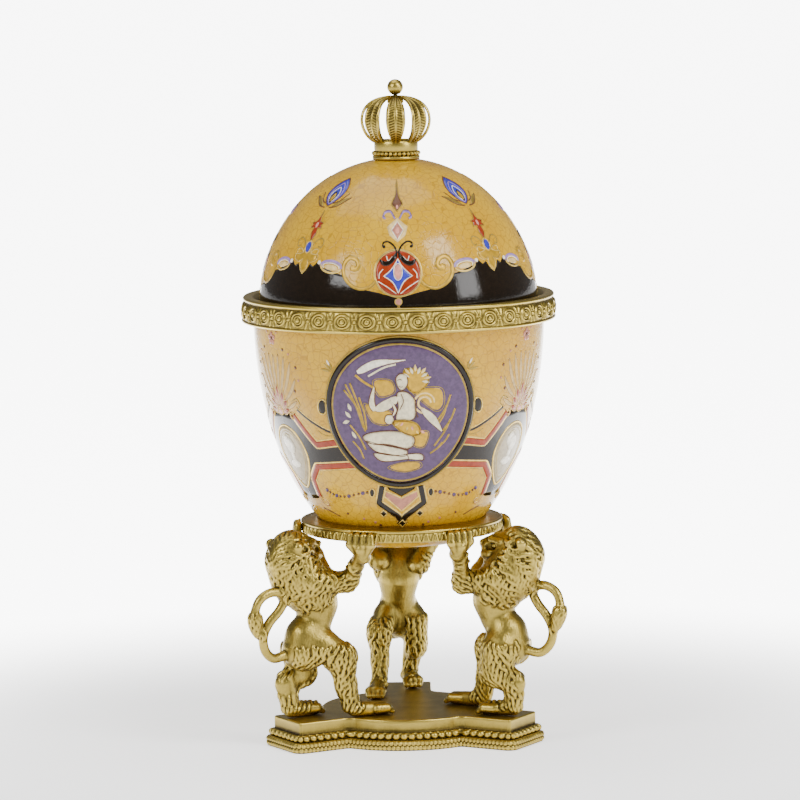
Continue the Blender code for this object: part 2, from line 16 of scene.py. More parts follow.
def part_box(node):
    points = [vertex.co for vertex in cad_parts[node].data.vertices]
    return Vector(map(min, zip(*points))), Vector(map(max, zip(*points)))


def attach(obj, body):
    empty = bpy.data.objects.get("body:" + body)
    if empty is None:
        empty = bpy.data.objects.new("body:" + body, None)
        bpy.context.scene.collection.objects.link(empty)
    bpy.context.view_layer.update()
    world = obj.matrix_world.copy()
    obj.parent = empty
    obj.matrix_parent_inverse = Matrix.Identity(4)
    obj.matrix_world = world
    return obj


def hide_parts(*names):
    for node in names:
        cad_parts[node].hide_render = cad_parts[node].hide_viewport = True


bl_info = {
    "name": "Jewelled Egg Box",
    "version": (1, 0, 0),
    "blender": (4, 5, 0),
    "location": "View3D > Sidebar > Egg Box",
    "description": "Builds the finish and the fine relief of an egg-shaped box carried by three lions",
    "category": "Add Mesh",
}

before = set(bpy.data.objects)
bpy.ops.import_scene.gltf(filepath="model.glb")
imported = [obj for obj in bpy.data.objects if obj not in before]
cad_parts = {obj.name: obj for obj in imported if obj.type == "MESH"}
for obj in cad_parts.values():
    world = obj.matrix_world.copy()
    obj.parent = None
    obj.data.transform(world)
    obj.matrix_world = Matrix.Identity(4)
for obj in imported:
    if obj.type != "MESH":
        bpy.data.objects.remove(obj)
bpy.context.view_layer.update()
MM = 0.001
TURN = 2 * math.pi


def node_box(node):
    """The lowest and highest corner of a node, in millimetres."""
    low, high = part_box(node)
    return np.array(low) / MM, np.array(high) / MM


PLINTH_TOP = float(node_box("plinth")[1][2])
RING_BOTTOM = float(node_box("support_ring")[0][2])
RING_LEDGE = float(node_box("support_ring")[1][2])
RING_RADIUS = float(node_box("support_ring")[1][0])
BOWL_BOTTOM = float(node_box("bowl")[0][2])
BOWL_TOP = float(node_box("bowl")[1][2])
BOWL_RADIUS = 66.0
BOWL_DEPTH = 115.0
BOWL_WIDEST = BOWL_TOP - 1.3
BOWL_WALL = 4.0
BAND_BOTTOM = float(node_box("rim_band")[0][2])
BAND_TOP = float(node_box("rim_band")[1][2])
BAND_RADIUS = float(node_box("rim_band")[1][0])
LID_BOTTOM = float(node_box("lid")[0][2])
LID_TOP = float(node_box("lid")[1][2])
LID_RADIUS = float(node_box("lid")[1][0])
LID_SPRING = LID_BOTTOM + 4.5
LID_HEIGHT = LID_TOP - LID_SPRING
LID_WALL = 3.5
LID_FLATTENING = 0.038
CROWN_BASE = LID_TOP + 0.3
CROWN_TOP = float(node_box("crown_finial")[1][2])
MEDALLION_Z = BOWL_WIDEST - 39.8
PANELS = (0, 180)
CAMEOS = (60, 120, 240, 300)


class BrassSettings(bpy.types.PropertyGroup):
    """Colours and grain of the cast brass."""

    polished: FloatVectorProperty(
        name="Polished", description="Brass where hands and cloths rub it", subtype="COLOR",
        size=3, min=0, max=1, default=(0.47, 0.35, 0.075))
    patina: FloatVectorProperty(
        name="Patina", description="Dark brass in the hollows", subtype="COLOR",
        size=3, min=0, max=1, default=(0.045, 0.03, 0.008))
    roughness: FloatProperty(
        name="Roughness", description="Gloss of the worn brass, 0 is a mirror", min=0, max=1, default=0.34)
    grain: FloatProperty(
        name="Grain", description="Depth of the casting's skin", unit="LENGTH", default=0.00012)


class GlazeSettings(bpy.types.PropertyGroup):
    """Colours of the ceramic's ground and of its crackle."""

    yellow: FloatVectorProperty(
        name="Yellow", description="Mustard-yellow ground glaze", subtype="COLOR",
        size=3, min=0, max=1, default=(0.57, 0.335, 0.012))
    crackle: FloatProperty(
        name="Crackle", description="Size of the crackle's cells", unit="LENGTH", default=0.0034)


class LionSettings(bpy.types.PropertyGroup):
    """Fineness of the lions."""

    voxel: FloatProperty(
        name="Voxel", description="Grid step of the lion's skin", unit="LENGTH", default=0.00046)
    lock_spacing: FloatProperty(
        name="Lock spacing", description="Distance between the roots of two locks",
        unit="LENGTH", default=0.0019)


class StageSettings(bpy.types.PropertyGroup):
    """Camera, floor and lights."""

    camera_distance: FloatProperty(
        name="Distance", description="Camera's distance in front of the axis", unit="LENGTH", default=2.157)
    camera_height: FloatProperty(
        name="Height", description="Camera's height above the floor", unit="LENGTH", default=0.407)
    camera_pitch: FloatProperty(
        name="Pitch", description="How far the camera looks down", subtype="ANGLE",
        default=math.radians(6.685))
    camera_roll: FloatProperty(
        name="Roll", description="How far the camera is turned about its line of sight", subtype="ANGLE",
        default=math.radians(0.9))
    camera_lens: FloatProperty(
        name="Lens", description="Focal length on a 36 mm sensor, in millimetres", default=215.0)
    key_power: FloatProperty(
        name="Key light", description="Power of the key softbox in watts", default=22.0)
    fill_power: FloatProperty(
        name="Fill light", description="Power of a side softbox in watts", default=14.0)
    room_light: FloatProperty(
        name="Room light", description="Brightness of the grey room all round", default=0.24)
    glow: FloatProperty(
        name="Glow", description="Brightness of the floor's strip behind the box", default=8.0)


class EggBoxSettings(bpy.types.PropertyGroup):
    """All settings, grouped by what they belong to."""

    brass: PointerProperty(name="Brass", description="Brass finish", type=BrassSettings)
    glaze: PointerProperty(name="Glaze", description="Ceramic finish", type=GlazeSettings)
    lion: PointerProperty(name="Lion", description="Lion skins", type=LionSettings)
    stage: PointerProperty(name="Stage", description="Camera and light", type=StageSettings)


def settings():
    return bpy.context.scene.egg_box


class Value:
    """A number socket in a node tree. Arithmetic on it adds Math nodes."""

    def __init__(self, tree, socket):
        self.tree = tree
        self.socket = socket

    def math(self, operation, first, second):
        node = add_node(self.tree, "ShaderNodeMath", {"operation": operation})
        plug(self.tree, node.inputs[0], first)
        plug(self.tree, node.inputs[1], second)
        return Value(self.tree, node.outputs[0])

    def __add__(self, other):
        return self.math("ADD", self, other)

    __radd__ = __add__

    def __sub__(self, other):
        return self.math("SUBTRACT", self, other)

    def __rsub__(self, other):
        return self.math("SUBTRACT", other, self)

    def __mul__(self, other):
        return self.math("MULTIPLY", self, other)

    __rmul__ = __mul__

    def step(self, low, high):
        """0 below low, 1 above high, and a smooth rise between them."""
        node = add_node(
            self.tree, "ShaderNodeMapRange", {"interpolation_type": "SMOOTHSTEP"},
            Value=self, From_Min=low, From_Max=high)
        return Value(self.tree, node.outputs["Result"])


def plug(tree, slot, item):
    """Links a socket, or sets a plain value."""
    if isinstance(item, Value):
        tree.links.new(item.socket, slot)
    elif isinstance(item, bpy.types.NodeSocket):
        tree.links.new(item, slot)
    elif isinstance(item, (tuple, list)) and len(item) == 3 and slot.type == "RGBA":
        slot.default_value = (*item, 1.0)
    else:
        slot.default_value = item


def add_node(tree, kind, settings=None, **sockets):
    """Any node, by its type, its settings and the values or links of its sockets."""
    made = tree.nodes.new(kind)
    for key, value in (settings or {}).items():
        setattr(made, key, value)
    for key, value in sockets.items():
        plug(tree, made.inputs[key.replace("_", " ")], value)
    return made


class Finish:
    """One material: a Principled shader and the nodes that feed it."""

    def __init__(self, name):
        self.material = bpy.data.materials.new(name)
        self.material.use_nodes = True
        self.tree = self.material.node_tree
        self.shader = self.tree.nodes["Principled BSDF"]

    def node(self, kind, settings=None, **sockets):
        return add_node(self.tree, kind, settings, **sockets)

    def place(self):
        return self.node("ShaderNodeTexCoord").outputs["Object"]

    def noise(self, scale, detail=2.0, rough=0.5):
        node = self.node(
            "ShaderNodeTexNoise", Vector=self.place(), Scale=scale, Detail=detail, Roughness=rough)
        return Value(self.tree, node.outputs["Fac"])

    def mix(self, factor, low, high):
        """A colour between two colours."""
        node = self.node("ShaderNodeMix", {"data_type": "RGBA"})
        for index, item in ((0, factor), (6, low), (7, high)):
            plug(self.tree, node.inputs[index], item)
        return node.outputs[2]

    def feed(self, **sockets):
        for key, value in sockets.items():
            plug(self.tree, self.shader.inputs[key.replace("_", " ")], value)

    def bump(self, height, distance):
        node = self.node("ShaderNodeBump", Height=height, Distance=distance, Strength=1.0)
        self.feed(Normal=node.outputs["Normal"])


def brass_finish(name, wear=0.0, fur=0.0):
    """Aged cast brass: bright edges, brown hollows, and a casting grain or upright strokes of fur."""
    own = settings().brass
    finish = Finish(name)
    edge = Value(finish.tree, finish.node("ShaderNodeNewGeometry").outputs["Pointiness"])
    cloud = finish.noise(90.0, 4.0, 0.6)
    speck = finish.noise(1400.0, 3.0, 0.6)
    worn = edge.step(0.43, 0.55) + (cloud - 0.5) * 0.5 + (speck - 0.5) * 0.3 + wear
    worn = worn.step(0.0, 1.0)
    finish.feed(
        Base_Color=finish.mix(worn, tuple(own.patina), tuple(own.polished)),
        Roughness=own.roughness + 0.16 - worn * 0.2 + (speck - 0.5) * 0.12,
        Metallic=1.0)
    height = speck * 0.6 + cloud * 0.4
    if fur:
        drawn = finish.node("ShaderNodeVectorMath", {"operation": "MULTIPLY"})
        for index, item in enumerate((finish.place(), (1.0, 1.0, 0.25))):
            plug(finish.tree, drawn.inputs[index], item)
        strokes = finish.node("ShaderNodeTexNoise", Vector=drawn.outputs[0], Scale=1100.0, Detail=2.0)
        height = height + Value(finish.tree, strokes.outputs["Fac"]) * fur
    finish.bump(height, own.grain)
    return finish.material


def glaze_finish(name):
    """Mustard-yellow ceramic glaze with a fine net of crackle under a glassy surface."""
    own = settings().glaze
    finish = Finish(name)
    warp = finish.node("ShaderNodeTexNoise", Vector=finish.place(), Scale=150.0, Detail=2.0)
    shifted = finish.node("ShaderNodeVectorMath", {"operation": "MULTIPLY_ADD"})
    for index, item in enumerate((warp.outputs["Color"], (0.0018, 0.0018, 0.0018), finish.place())):
        plug(finish.tree, shifted.inputs[index], item)

    def net(size, low, high):
        cells = finish.node(
            "ShaderNodeTexVoronoi", {"feature": "DISTANCE_TO_EDGE"},
            Vector=shifted.outputs[0], Scale=1.0 / size)
        return 1.0 - Value(finish.tree, cells.outputs["Distance"]).step(low, high)

    line = net(own.crackle, 0.015, 0.07)
    hair = net(0.47 * own.crackle, 0.01, 0.08)
    cloud = finish.noise(35.0, 3.0)
    yellow = tuple(own.yellow)
    deep = tuple(c * f for c, f in zip(yellow, (0.86, 0.78, 0.62)))
    dark = tuple(c * f for c, f in zip(yellow, (0.50, 0.40, 0.30)))
    colour = finish.mix(cloud.step(0.3, 0.7), yellow, deep)
    colour = finish.mix(line * 0.55 + hair * 0.14, colour, dark)
    finish.feed(Base_Color=colour, Roughness=0.12)
    finish.shader.inputs["Specular IOR Level"].default_value = 0.3
    finish.bump(1.0 - line * 0.6 - hair * 0.2, 0.00005)
    return finish.material


ENAMELS = {
    "black": ((0.010, 0.006, 0.003), 0.1, 0.0),
    "gold": ((0.60, 0.42, 0.11), 0.34, 0.75),
    "old_gold": ((0.30, 0.20, 0.035), 0.42, 0.5),
    "umber": ((0.30, 0.17, 0.05), 0.3, 0.0),
    "sand": ((0.58, 0.40, 0.15), 0.25, 0.0),
    "red": ((0.26, 0.03, 0.007), 0.2, 0.0),
    "blue": ((0.035, 0.04, 0.36), 0.2, 0.0),
    "purple": ((0.078, 0.045, 0.10), 0.12, 0.0),
    "lilac": ((0.26, 0.17, 0.40), 0.25, 0.0),
    "pink": ((0.62, 0.26, 0.20), 0.22, 0.0),
    "rose": ((0.42, 0.17, 0.11), 0.22, 0.0),
    "white": ((0.80, 0.74, 0.60), 0.25, 0.0),
    "cream": ((0.68, 0.60, 0.40), 0.22, 0.0),
    "amber": ((0.48, 0.28, 0.016), 0.3, 0.3),
    "olive": ((0.34, 0.27, 0.15), 0.22, 0.0),
    "brown": ((0.10, 0.035, 0.012), 0.3, 0.0),
    "glow": ((0.70, 0.50, 0.19), 0.25, 0.0),
}


def enamel_finish(name, colour, rough, metallic):
    """A painted enamel or gold colour with a little thick and thin in it."""
    finish = Finish(name)
    cloud = finish.noise(500.0, 3.0, 0.6)
    dark = tuple(c * 0.78 for c in colour)
    light = tuple(min(1.0, c * 1.14) for c in colour)
    finish.feed(
        Base_Color=finish.mix(cloud.step(0.3, 0.7), dark, light),
        Roughness=rough + (cloud - 0.5) * 0.1, Metallic=metallic)
    finish.shader.inputs["Specular IOR Level"].default_value = 0.3
    finish.bump(cloud, 0.00006)
    return finish.material


def enamel(colour):
    """The finish of an enamel colour, made once."""
    name = "enamel_" + colour
    return bpy.data.materials.get(name) or enamel_finish(name, *ENAMELS[colour])


def grid_quads(rows, columns, wrap_rows=False, wrap_columns=True):
    """Quads of a grid whose points are numbered row by row."""
    r = np.arange(rows if wrap_rows else rows - 1)[:, None]
    c = np.arange(columns if wrap_columns else columns - 1)[None, :]
    nr, nc = (r + 1) % rows, (c + 1) % columns
    quads = np.stack([r * columns + c, nr * columns + c, nr * columns + nc, r * columns + nc], axis=-1)
    return quads.reshape(-1, 4)


def as_grid(points, wrap_rows=False):
    """A rows x columns x 3 array as (points, quads), closed round its columns."""
    rows, columns = points.shape[:2]
    return points.reshape(-1, 3), grid_quads(rows, columns, wrap_rows)


def joined_grids(grids):
    """Several (points, quads) shapes as one pair of arrays."""
    starts = np.cumsum([0] + [len(points) for points, _ in grids[:-1]])
    return (np.concatenate([points for points, _ in grids]),
            np.concatenate([quads + start for (_, quads), start in zip(grids, starts)]))


def mesh_object(name, points, quads, material, slot, replaces=(), weld=True):
    """An object at the origin from points in millimetres and quads. Welding closes its seams and poles."""
    mesh = bpy.data.meshes.new(name)
    mesh.vertices.add(len(points))
    mesh.vertices.foreach_set("co", (np.asarray(points, np.float64) * MM).astype(np.float32).ravel())
    quads = np.asarray(quads, np.int32)
    mesh.loops.add(quads.size)
    mesh.loops.foreach_set("vertex_index", quads.ravel())
    mesh.polygons.add(len(quads))
    mesh.polygons.foreach_set("loop_start", np.arange(0, quads.size, 4, dtype=np.int32))
    mesh.update(calc_edges=True)
    if weld:
        bm = bmesh.new()
        bm.from_mesh(mesh)
        bmesh.ops.remove_doubles(bm, verts=bm.verts, dist=2e-6)
        bmesh.ops.recalc_face_normals(bm, faces=bm.faces)
        bm.to_mesh(mesh)
        bm.free()
    mesh.shade_smooth()
    mesh.materials.append(material)
    obj = bpy.data.objects.new(name, mesh)
    bpy.context.scene.collection.objects.link(obj)
    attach(obj, "root")
    if replaces:
        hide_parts(*replaces)
    return obj


def brass_cast(name, grid, wear, node):
    """One brass piece in place of its node, with its own share of wear."""
    mesh_object(name + "_cast", *grid, brass_finish("brass_" + name, wear), "brass", [node])


def turned_points(radius, height, steps, relief=None):
    """A turned surface: a profile swept round Z, pushed out by relief(angle, height, radius)."""
    angle = np.linspace(0, TURN, steps, endpoint=False)[None, :]
    radius = np.asarray(radius, float)[:, None]
    height = np.asarray(height, float)[:, None]
    out = radius + (relief(angle, height, radius) if relief else 0.0 * angle)
    return np.stack([out * np.cos(angle), out * np.sin(angle), height + 0 * angle], axis=-1)


def eased(points, per_span=6):
    """A smooth curve through complex points, by cubic spans whose slopes join each point's neighbours."""
    p = np.asarray(points, complex)
    padded = np.concatenate([[2 * p[0] - p[1]], p, [2 * p[-1] - p[-2]]])
    t = np.linspace(0, 1, per_span, endpoint=False)[None, :]
    a, b, c, d = (padded[k:len(p) - 1 + k][:, None] for k in range(4))
    spans = b + 0.5 * t * (c - a + t * (2 * a - 5 * b + 4 * c - d + t * (3 * (b - c) + d - a)))
    return np.concatenate([spans.ravel(), [p[-1]]])


def rounded(points, per_span=5):
    """A smooth closed outline through complex points."""
    p = np.asarray(points, complex)
    return eased(np.concatenate([p[-2:], p, p[:2]]), per_span)[2 * per_span:(len(p) + 2) * per_span]


def curved(points, per_span=4):
    """The same smooth curve through points in space, each with its radius."""
    columns = [eased(column + 0j, per_span).real for column in np.array(points, float).T]
    return [tuple(row) for row in np.stack(columns, axis=-1)]


def dense(points, step=0.7):
    """Straight runs through complex points, filled with a point at each step."""
    runs = []
    for a, b in zip(points, points[1:]):
        runs.append(np.linspace(a, b, max(2, int(abs(b - a) / step) + 1), endpoint=False))
    return np.concatenate([*runs, [points[-1]]])


def heading(degrees):
    """The complex direction at an angle."""
    return np.exp(1j * math.radians(degrees))


def flat_points(pairs):
    return [complex(*pair) for pair in pairs]


def mirrored(half):
    """A closed outline from its right half, whose first and last points are on the middle line."""
    return np.concatenate([half, -half.conj()[::-1][1:-1]])


def oval(centre, across, up, tilt=0.0, count=36):
    """A closed oval about a complex centre, with half sizes across and up, turned by a tilt in degrees."""
    turn = np.linspace(0, TURN, count, endpoint=False)
    return centre + (across * np.cos(turn) + 1j * up * np.sin(turn)) * heading(tilt)


def leaf(centre, length, width, tilt=0.0, fullness=1.0, count=13):
    """A closed leaf from end to end along its tilt: its half width is a power of a half sine wave."""
    t = np.linspace(0, 1, count)
    half = 0.5 * width * np.clip(np.sin(math.pi * t), 0, 1) ** fullness
    outline = np.concatenate([(t - 0.5) * length + 1j * half, ((t - 0.5) * length - 1j * half)[-2:0:-1]])
    return centre + outline * heading(tilt)


class Shell:
    """A turned skin that paint is laid on."""

    def __init__(self, radius_of):
        self.radius_of = radius_of

    def at(self, flat, lift, meridian):
        """Flat complex points (mm round from the meridian, height) laid on the skin and lifted off it."""
        z = flat.imag
        radius = self.radius_of(z)
        lean = (self.radius_of(z + 0.05) - self.radius_of(z - 0.05)) / 0.1
        along = 1.0 / np.sqrt(1.0 + lean**2)
        angle = math.radians(270 + meridian) + flat.real / radius
        out = radius + lift * along
        return np.stack([out * np.cos(angle), out * np.sin(angle), z - lift * lean * along], axis=-1)


class Plaque:
    """The round plaque on the bowl: flat complex points about its middle, on a slight dome."""

    def __init__(self, shell, z, dome=0.7, reach=31.0, size=1.05):
        self.shell, self.z, self.dome, self.reach, self.size = shell, z, dome, reach, size
        lean = float(shell.radius_of(np.array(z + 1.0)) - shell.radius_of(np.array(z - 1.0))) / 2
        self.upright = 1.03 / math.hypot(1, lean)

    def at(self, flat, lift, meridian):
        """Flat points become arcs of the middle's circle, all a little larger than drawn."""
        z = self.z + self.size * flat.imag * self.upright
        middle = float(self.shell.radius_of(np.array(self.z)))
        arc = self.size * flat.real * self.shell.radius_of(z) / middle
        bulge = self.dome * np.clip(1 - (abs(flat) / self.reach) ** 2, 0, 1)
        return self.shell.at(arc + 1j * z, lift + bulge, meridian)


def bowl_radius(z):
    """An ellipse in profile, widest near the rim."""
    return BOWL_RADIUS * np.sqrt(np.clip(1 - ((BOWL_WIDEST - z) / BOWL_DEPTH) ** 2, 0, 1))


def lid_radius(z):
    """A slightly flattened dome that rises straight below its spring line."""
    climb = np.arcsin(np.clip((z - LID_SPRING) / LID_HEIGHT, 0, 1))
    return LID_RADIUS * np.cos(climb) * (1 - LID_FLATTENING * np.sin(2 * climb))


BOWL_SKIN = Shell(bowl_radius)
LID_SKIN = Shell(lid_radius)
PLAQUE_SKIN = Plaque(BOWL_SKIN, MEDALLION_Z)


class Paint:
    """Raised enamel on a skin, kept by colour. Each shape is a closed slab, sunk a little into the skin."""

    SINK = 0.18

    def __init__(self, skin, meridians, mirrored=False):
        self.skin = skin
        self.meridians = meridians
        self.sides = (1, -1) if mirrored else (1,)
        self.grids = {}

    def lay(self, colour, flat, lift):
        """Lays a grid of flat points at every meridian, and mirrored where the motif is."""
        for meridian in self.meridians:
            for side in self.sides:
                placed = self.skin.at(side * flat.real + 1j * flat.imag, lift, meridian)
                self.grids.setdefault(colour, []).append(as_grid(placed))

    def fill(self, colour, outline, lift=0.1, rings=2, centre=None):
        """A filled outline: rings that shrink to its middle on top, a side wall, and a flat underside."""
        outline = np.asarray(outline)
        middle = outline.mean() if centre is None else centre
        share = np.concatenate([np.linspace(0, 1, rings + 1) ** 0.8, [1.0, 0.0]])[:, None]
        lifts = np.concatenate([np.full(rings, lift), [0.55 * lift, -self.SINK, -self.SINK]])[:, None]
        self.lay(colour, middle + (outline - middle)[None, :] * share, lifts + 0 * abs(outline)[None, :])

    def stroke(self, colour, path, width, lift=0.16, closed=False):
        """A raised line along a path: a rounded section of six points, pointed at its ends."""
        path = np.asarray(path)
        if closed:
            path = np.concatenate([path, path[:1]])
        run = np.gradient(path)
        if closed:
            run[0] = run[-1] = run[0] + run[-1]
        side = 1j * run / abs(run)
        half = 0.5 * np.broadcast_to(np.asarray(width, float), path.shape)
        across = np.array([-1, -0.85, -0.4, 0.4, 0.85, 1])
        lifts = np.array([-self.SINK, 0.6 * lift, lift, lift, 0.6 * lift, -self.SINK])
        flat = path[:, None] + (side * half)[:, None] * across[None, :]
        rise = np.repeat(lifts[None, :], len(path), axis=0)
        if not closed:
            first, last = (np.repeat(path[k], 6)[None, :] for k in (0, -1))
            flush = np.zeros((1, 6))
            flat = np.concatenate([first, flat, last])
            rise = np.concatenate([flush, rise, flush])
        self.lay(colour, flat, rise)

    def outlined(self, colour, edge, outline, lift=0.12, width=0.6, rings=2, centre=None):
        """A filled outline with a raised line round it."""
        self.fill(colour, outline, lift, rings, centre)
        self.stroke(edge, outline, width, lift + 0.08, closed=True)

    def dots(self, colour, centres, radius, lift=0.25):
        for centre in centres:
            self.fill(colour, oval(centre, radius, radius, count=12), lift, rings=2)


def lay_paint(name, paints):
    """One object for each colour of the paints."""
    grids = {}
    for paint in paints:
        for colour, made in paint.grids.items():
            grids.setdefault(colour, []).extend(made)
    for colour, made in grids.items():
        mesh_object(f"{name}_{colour}", *joined_grids(made), enamel(colour), "crackle_glaze")


class EGGBOX_OT_stage(bpy.types.Operator):
    """White floor, softboxes, a grey room and the camera."""

    bl_idname = "eggbox.stage"
    bl_label = "Stage"

    def execute(self, context):
        own = settings().stage
        scene = context.scene
        camera = bpy.data.cameras.new("camera")
        camera.lens = own.camera_lens
        camera.sensor_width = 36.0
        camera.clip_end = 20.0
        viewer = bpy.data.objects.new("camera", camera)
        viewer.matrix_world = (
            Matrix.Translation((0, -own.camera_distance, own.camera_height))
            @ Matrix.Rotation(math.pi / 2 - own.camera_pitch, 4, "X")
            @ Matrix.Rotation(-own.camera_roll, 4, "Z"))
        scene.collection.objects.link(viewer)
        scene.camera = viewer
        self.floor()
        softboxes = (
            ("key", own.key_power, 0.6, (0.95, -0.95, 1.35)),
            ("left", own.fill_power, 0.6, (-1.05, -0.95, 0.95)),
            ("right", 0.6 * own.fill_power, 0.5, (1.25, -0.7, 0.6)),
            ("top", own.fill_power, 1.2, (-0.2, 0.2, 1.6)))
        for softbox in softboxes:
            self.softbox(*softbox)
        world = bpy.data.worlds.new("grey_room")
        world.use_nodes = True
        world.node_tree.nodes["Background"].inputs["Color"].default_value = (1, 1, 1, 1)
        world.node_tree.nodes["Background"].inputs["Strength"].default_value = own.room_light
        scene.world = world
        return {"FINISHED"}

    def softbox(self, name, power, size, place):
        light = bpy.data.lights.new(name, "AREA")
        light.energy = power
        light.size = size
        lamp = bpy.data.objects.new(name, light)
        look = (Vector((0, 0, 0.16)) - Vector(place)).to_track_quat("-Z", "Y")
        lamp.matrix_world = Matrix.Translation(place) @ look.to_matrix().to_4x4()
        bpy.context.scene.collection.objects.link(lamp)

    def floor(self):
        """A wide white floor that glows in a strip behind the box. Its glow is dimmer round the box's foot
        and in front, a painted shadow there.
        """
        reach = 14.0
        mesh = bpy.data.meshes.new("floor")
        corners = [(-reach, -reach, 0), (reach, -reach, 0), (reach, reach, 0), (-reach, reach, 0)]
        mesh.from_pydata(corners, [], [(0, 1, 2, 3)])
        finish = Finish("paper_glow_painted_shadow")
        parts = finish.node("ShaderNodeSeparateXYZ", Vector=finish.place())
        x, y = (Value(finish.tree, parts.outputs[k]) for k in (0, 1))
        beside = x.math("ABSOLUTE", x, 0.0) - y * 0.08
        # Glow mask: low round the box's foot and in front, a painted soft shadow, and low beyond the strip's
        # sides.
        glow = (x * x + y * y).step(0.01, 0.16) * (1.0 - beside.step(0.33, 0.6)) * y.step(-0.2, 0.12)
        finish.feed(
            Base_Color=(0.9, 0.9, 0.9), Roughness=0.9,
            Emission_Color=finish.mix(glow, (0.14, 0.14, 0.14), (1.0, 1.0, 1.0)))
        finish.shader.inputs["Emission Strength"].default_value = settings().stage.glow
        mesh.materials.append(finish.material)
        floor = bpy.data.objects.new("floor", mesh)
        bpy.context.scene.collection.objects.link(floor)


def plinth_path(count, out):
    """Points and outward normals of the plinth's plan: a disc with three square, filleted lugs."""
    disc, reach, half, corner, fillet = 38.0 + out, 61.6 + out, 12.5 + out, 1.2 + out, 6.0 - out
    centre = complex(math.sqrt((disc + fillet) ** 2 - (half + fillet) ** 2), half + fillet)
    touch = math.atan2(centre.imag, centre.real)

    def arc(middle, radius, start, end):
        return middle + radius * np.exp(1j * np.linspace(start, end, 40))

    side = np.concatenate([
        arc(complex(reach - corner, half - corner), corner, 0, math.pi / 2),
        arc(centre, fillet, 1.5 * math.pi, math.pi + touch),
        arc(0, disc, touch, math.pi / 3)[1:-1]])
    lug = np.concatenate([side.conj()[::-1], side])
    plan = np.concatenate([lug * heading(90 + 120 * k) for k in range(3)])
    plan = np.append(plan, plan[0])
    along = np.concatenate([[0], np.cumsum(abs(np.diff(plan)))])
    places = np.linspace(0, along[-1], count, endpoint=False)
    even = np.interp(places, along, plan.real) + 1j * np.interp(places, along, plan.imag)
    run = np.roll(even, -2) - np.roll(even, 2)
    return even, -1j * run / abs(run), along[-1]


class EGGBOX_OT_plinth(bpy.types.Operator):
    """The lobed plinth: a knurled foot moulding, a row of beads and a plain block."""

    bl_idname = "eggbox.plinth"
    bl_label = "Plinth"

    def execute(self, context):
        middle = 3.0
        count = 1180
        plan, normal, length = plinth_path(count, middle)
        share = np.arange(count) / count
        beads = round(length / 3.65)
        knurls = round(length / 2.0)
        swing = (share * beads + 0.5) % 1 - 0.5
        rows = []

        def row(out, z):
            place = plan + normal * (out - middle)
            rows.append(np.stack([place.real, place.imag, z + 0 * share], axis=-1))

        row(3.2 + 0 * share, 0.0)
        for z in np.linspace(0.05, 4.5, 17):
            swell = math.sqrt(max(0.0, 1 - ((z - 2.3) / 2.5) ** 2))
            tier = 0 if z < 2.3 else 1
            turn = (share * knurls + 0.5 * tier + 0.5) % 1 - 0.5
            up = (z - (1.2 + 2.2 * tier)) / 1.15
            knob = np.sqrt(np.clip(1 - (turn / 0.52) ** 2 - up**2, 0, 1))
            row(2.3 + 1.0 * swell + 0.8 * knob, z)
        row(1.5 + 0 * share, 4.62)
        for z in np.linspace(4.75, 7.7, 13):
            up = (z - 6.22) / 1.55
            knob = np.sqrt(np.clip(1 - (swing / 0.49) ** 2 - up**2, 0, 1))
            row(1.2 + 1.65 * knob, z)
        row(0.35 + 0 * share, 7.75)
        block = ((0.0, 8.1), (0.0, 9.5), (0.0, 11.5), (0.0, 12.8), (-0.12, 13.15), (-0.45, PLINTH_TOP))
        for out, z in block:
            row(out + 0 * share, z)
        edge = rows[-1]
        for shrink in (0.985, 0.9, 0.75, 0.6, 0.45, 0.3, 0.15, 0.0):
            rows.append(edge * np.array([shrink, shrink, 1.0]))
        base = rows[0] * np.array([0.0, 0.0, 1.0])
        points = np.stack([base, *rows])
        brass_cast("plinth", as_grid(points), 0.05, "plinth")
        return {"FINISHED"}


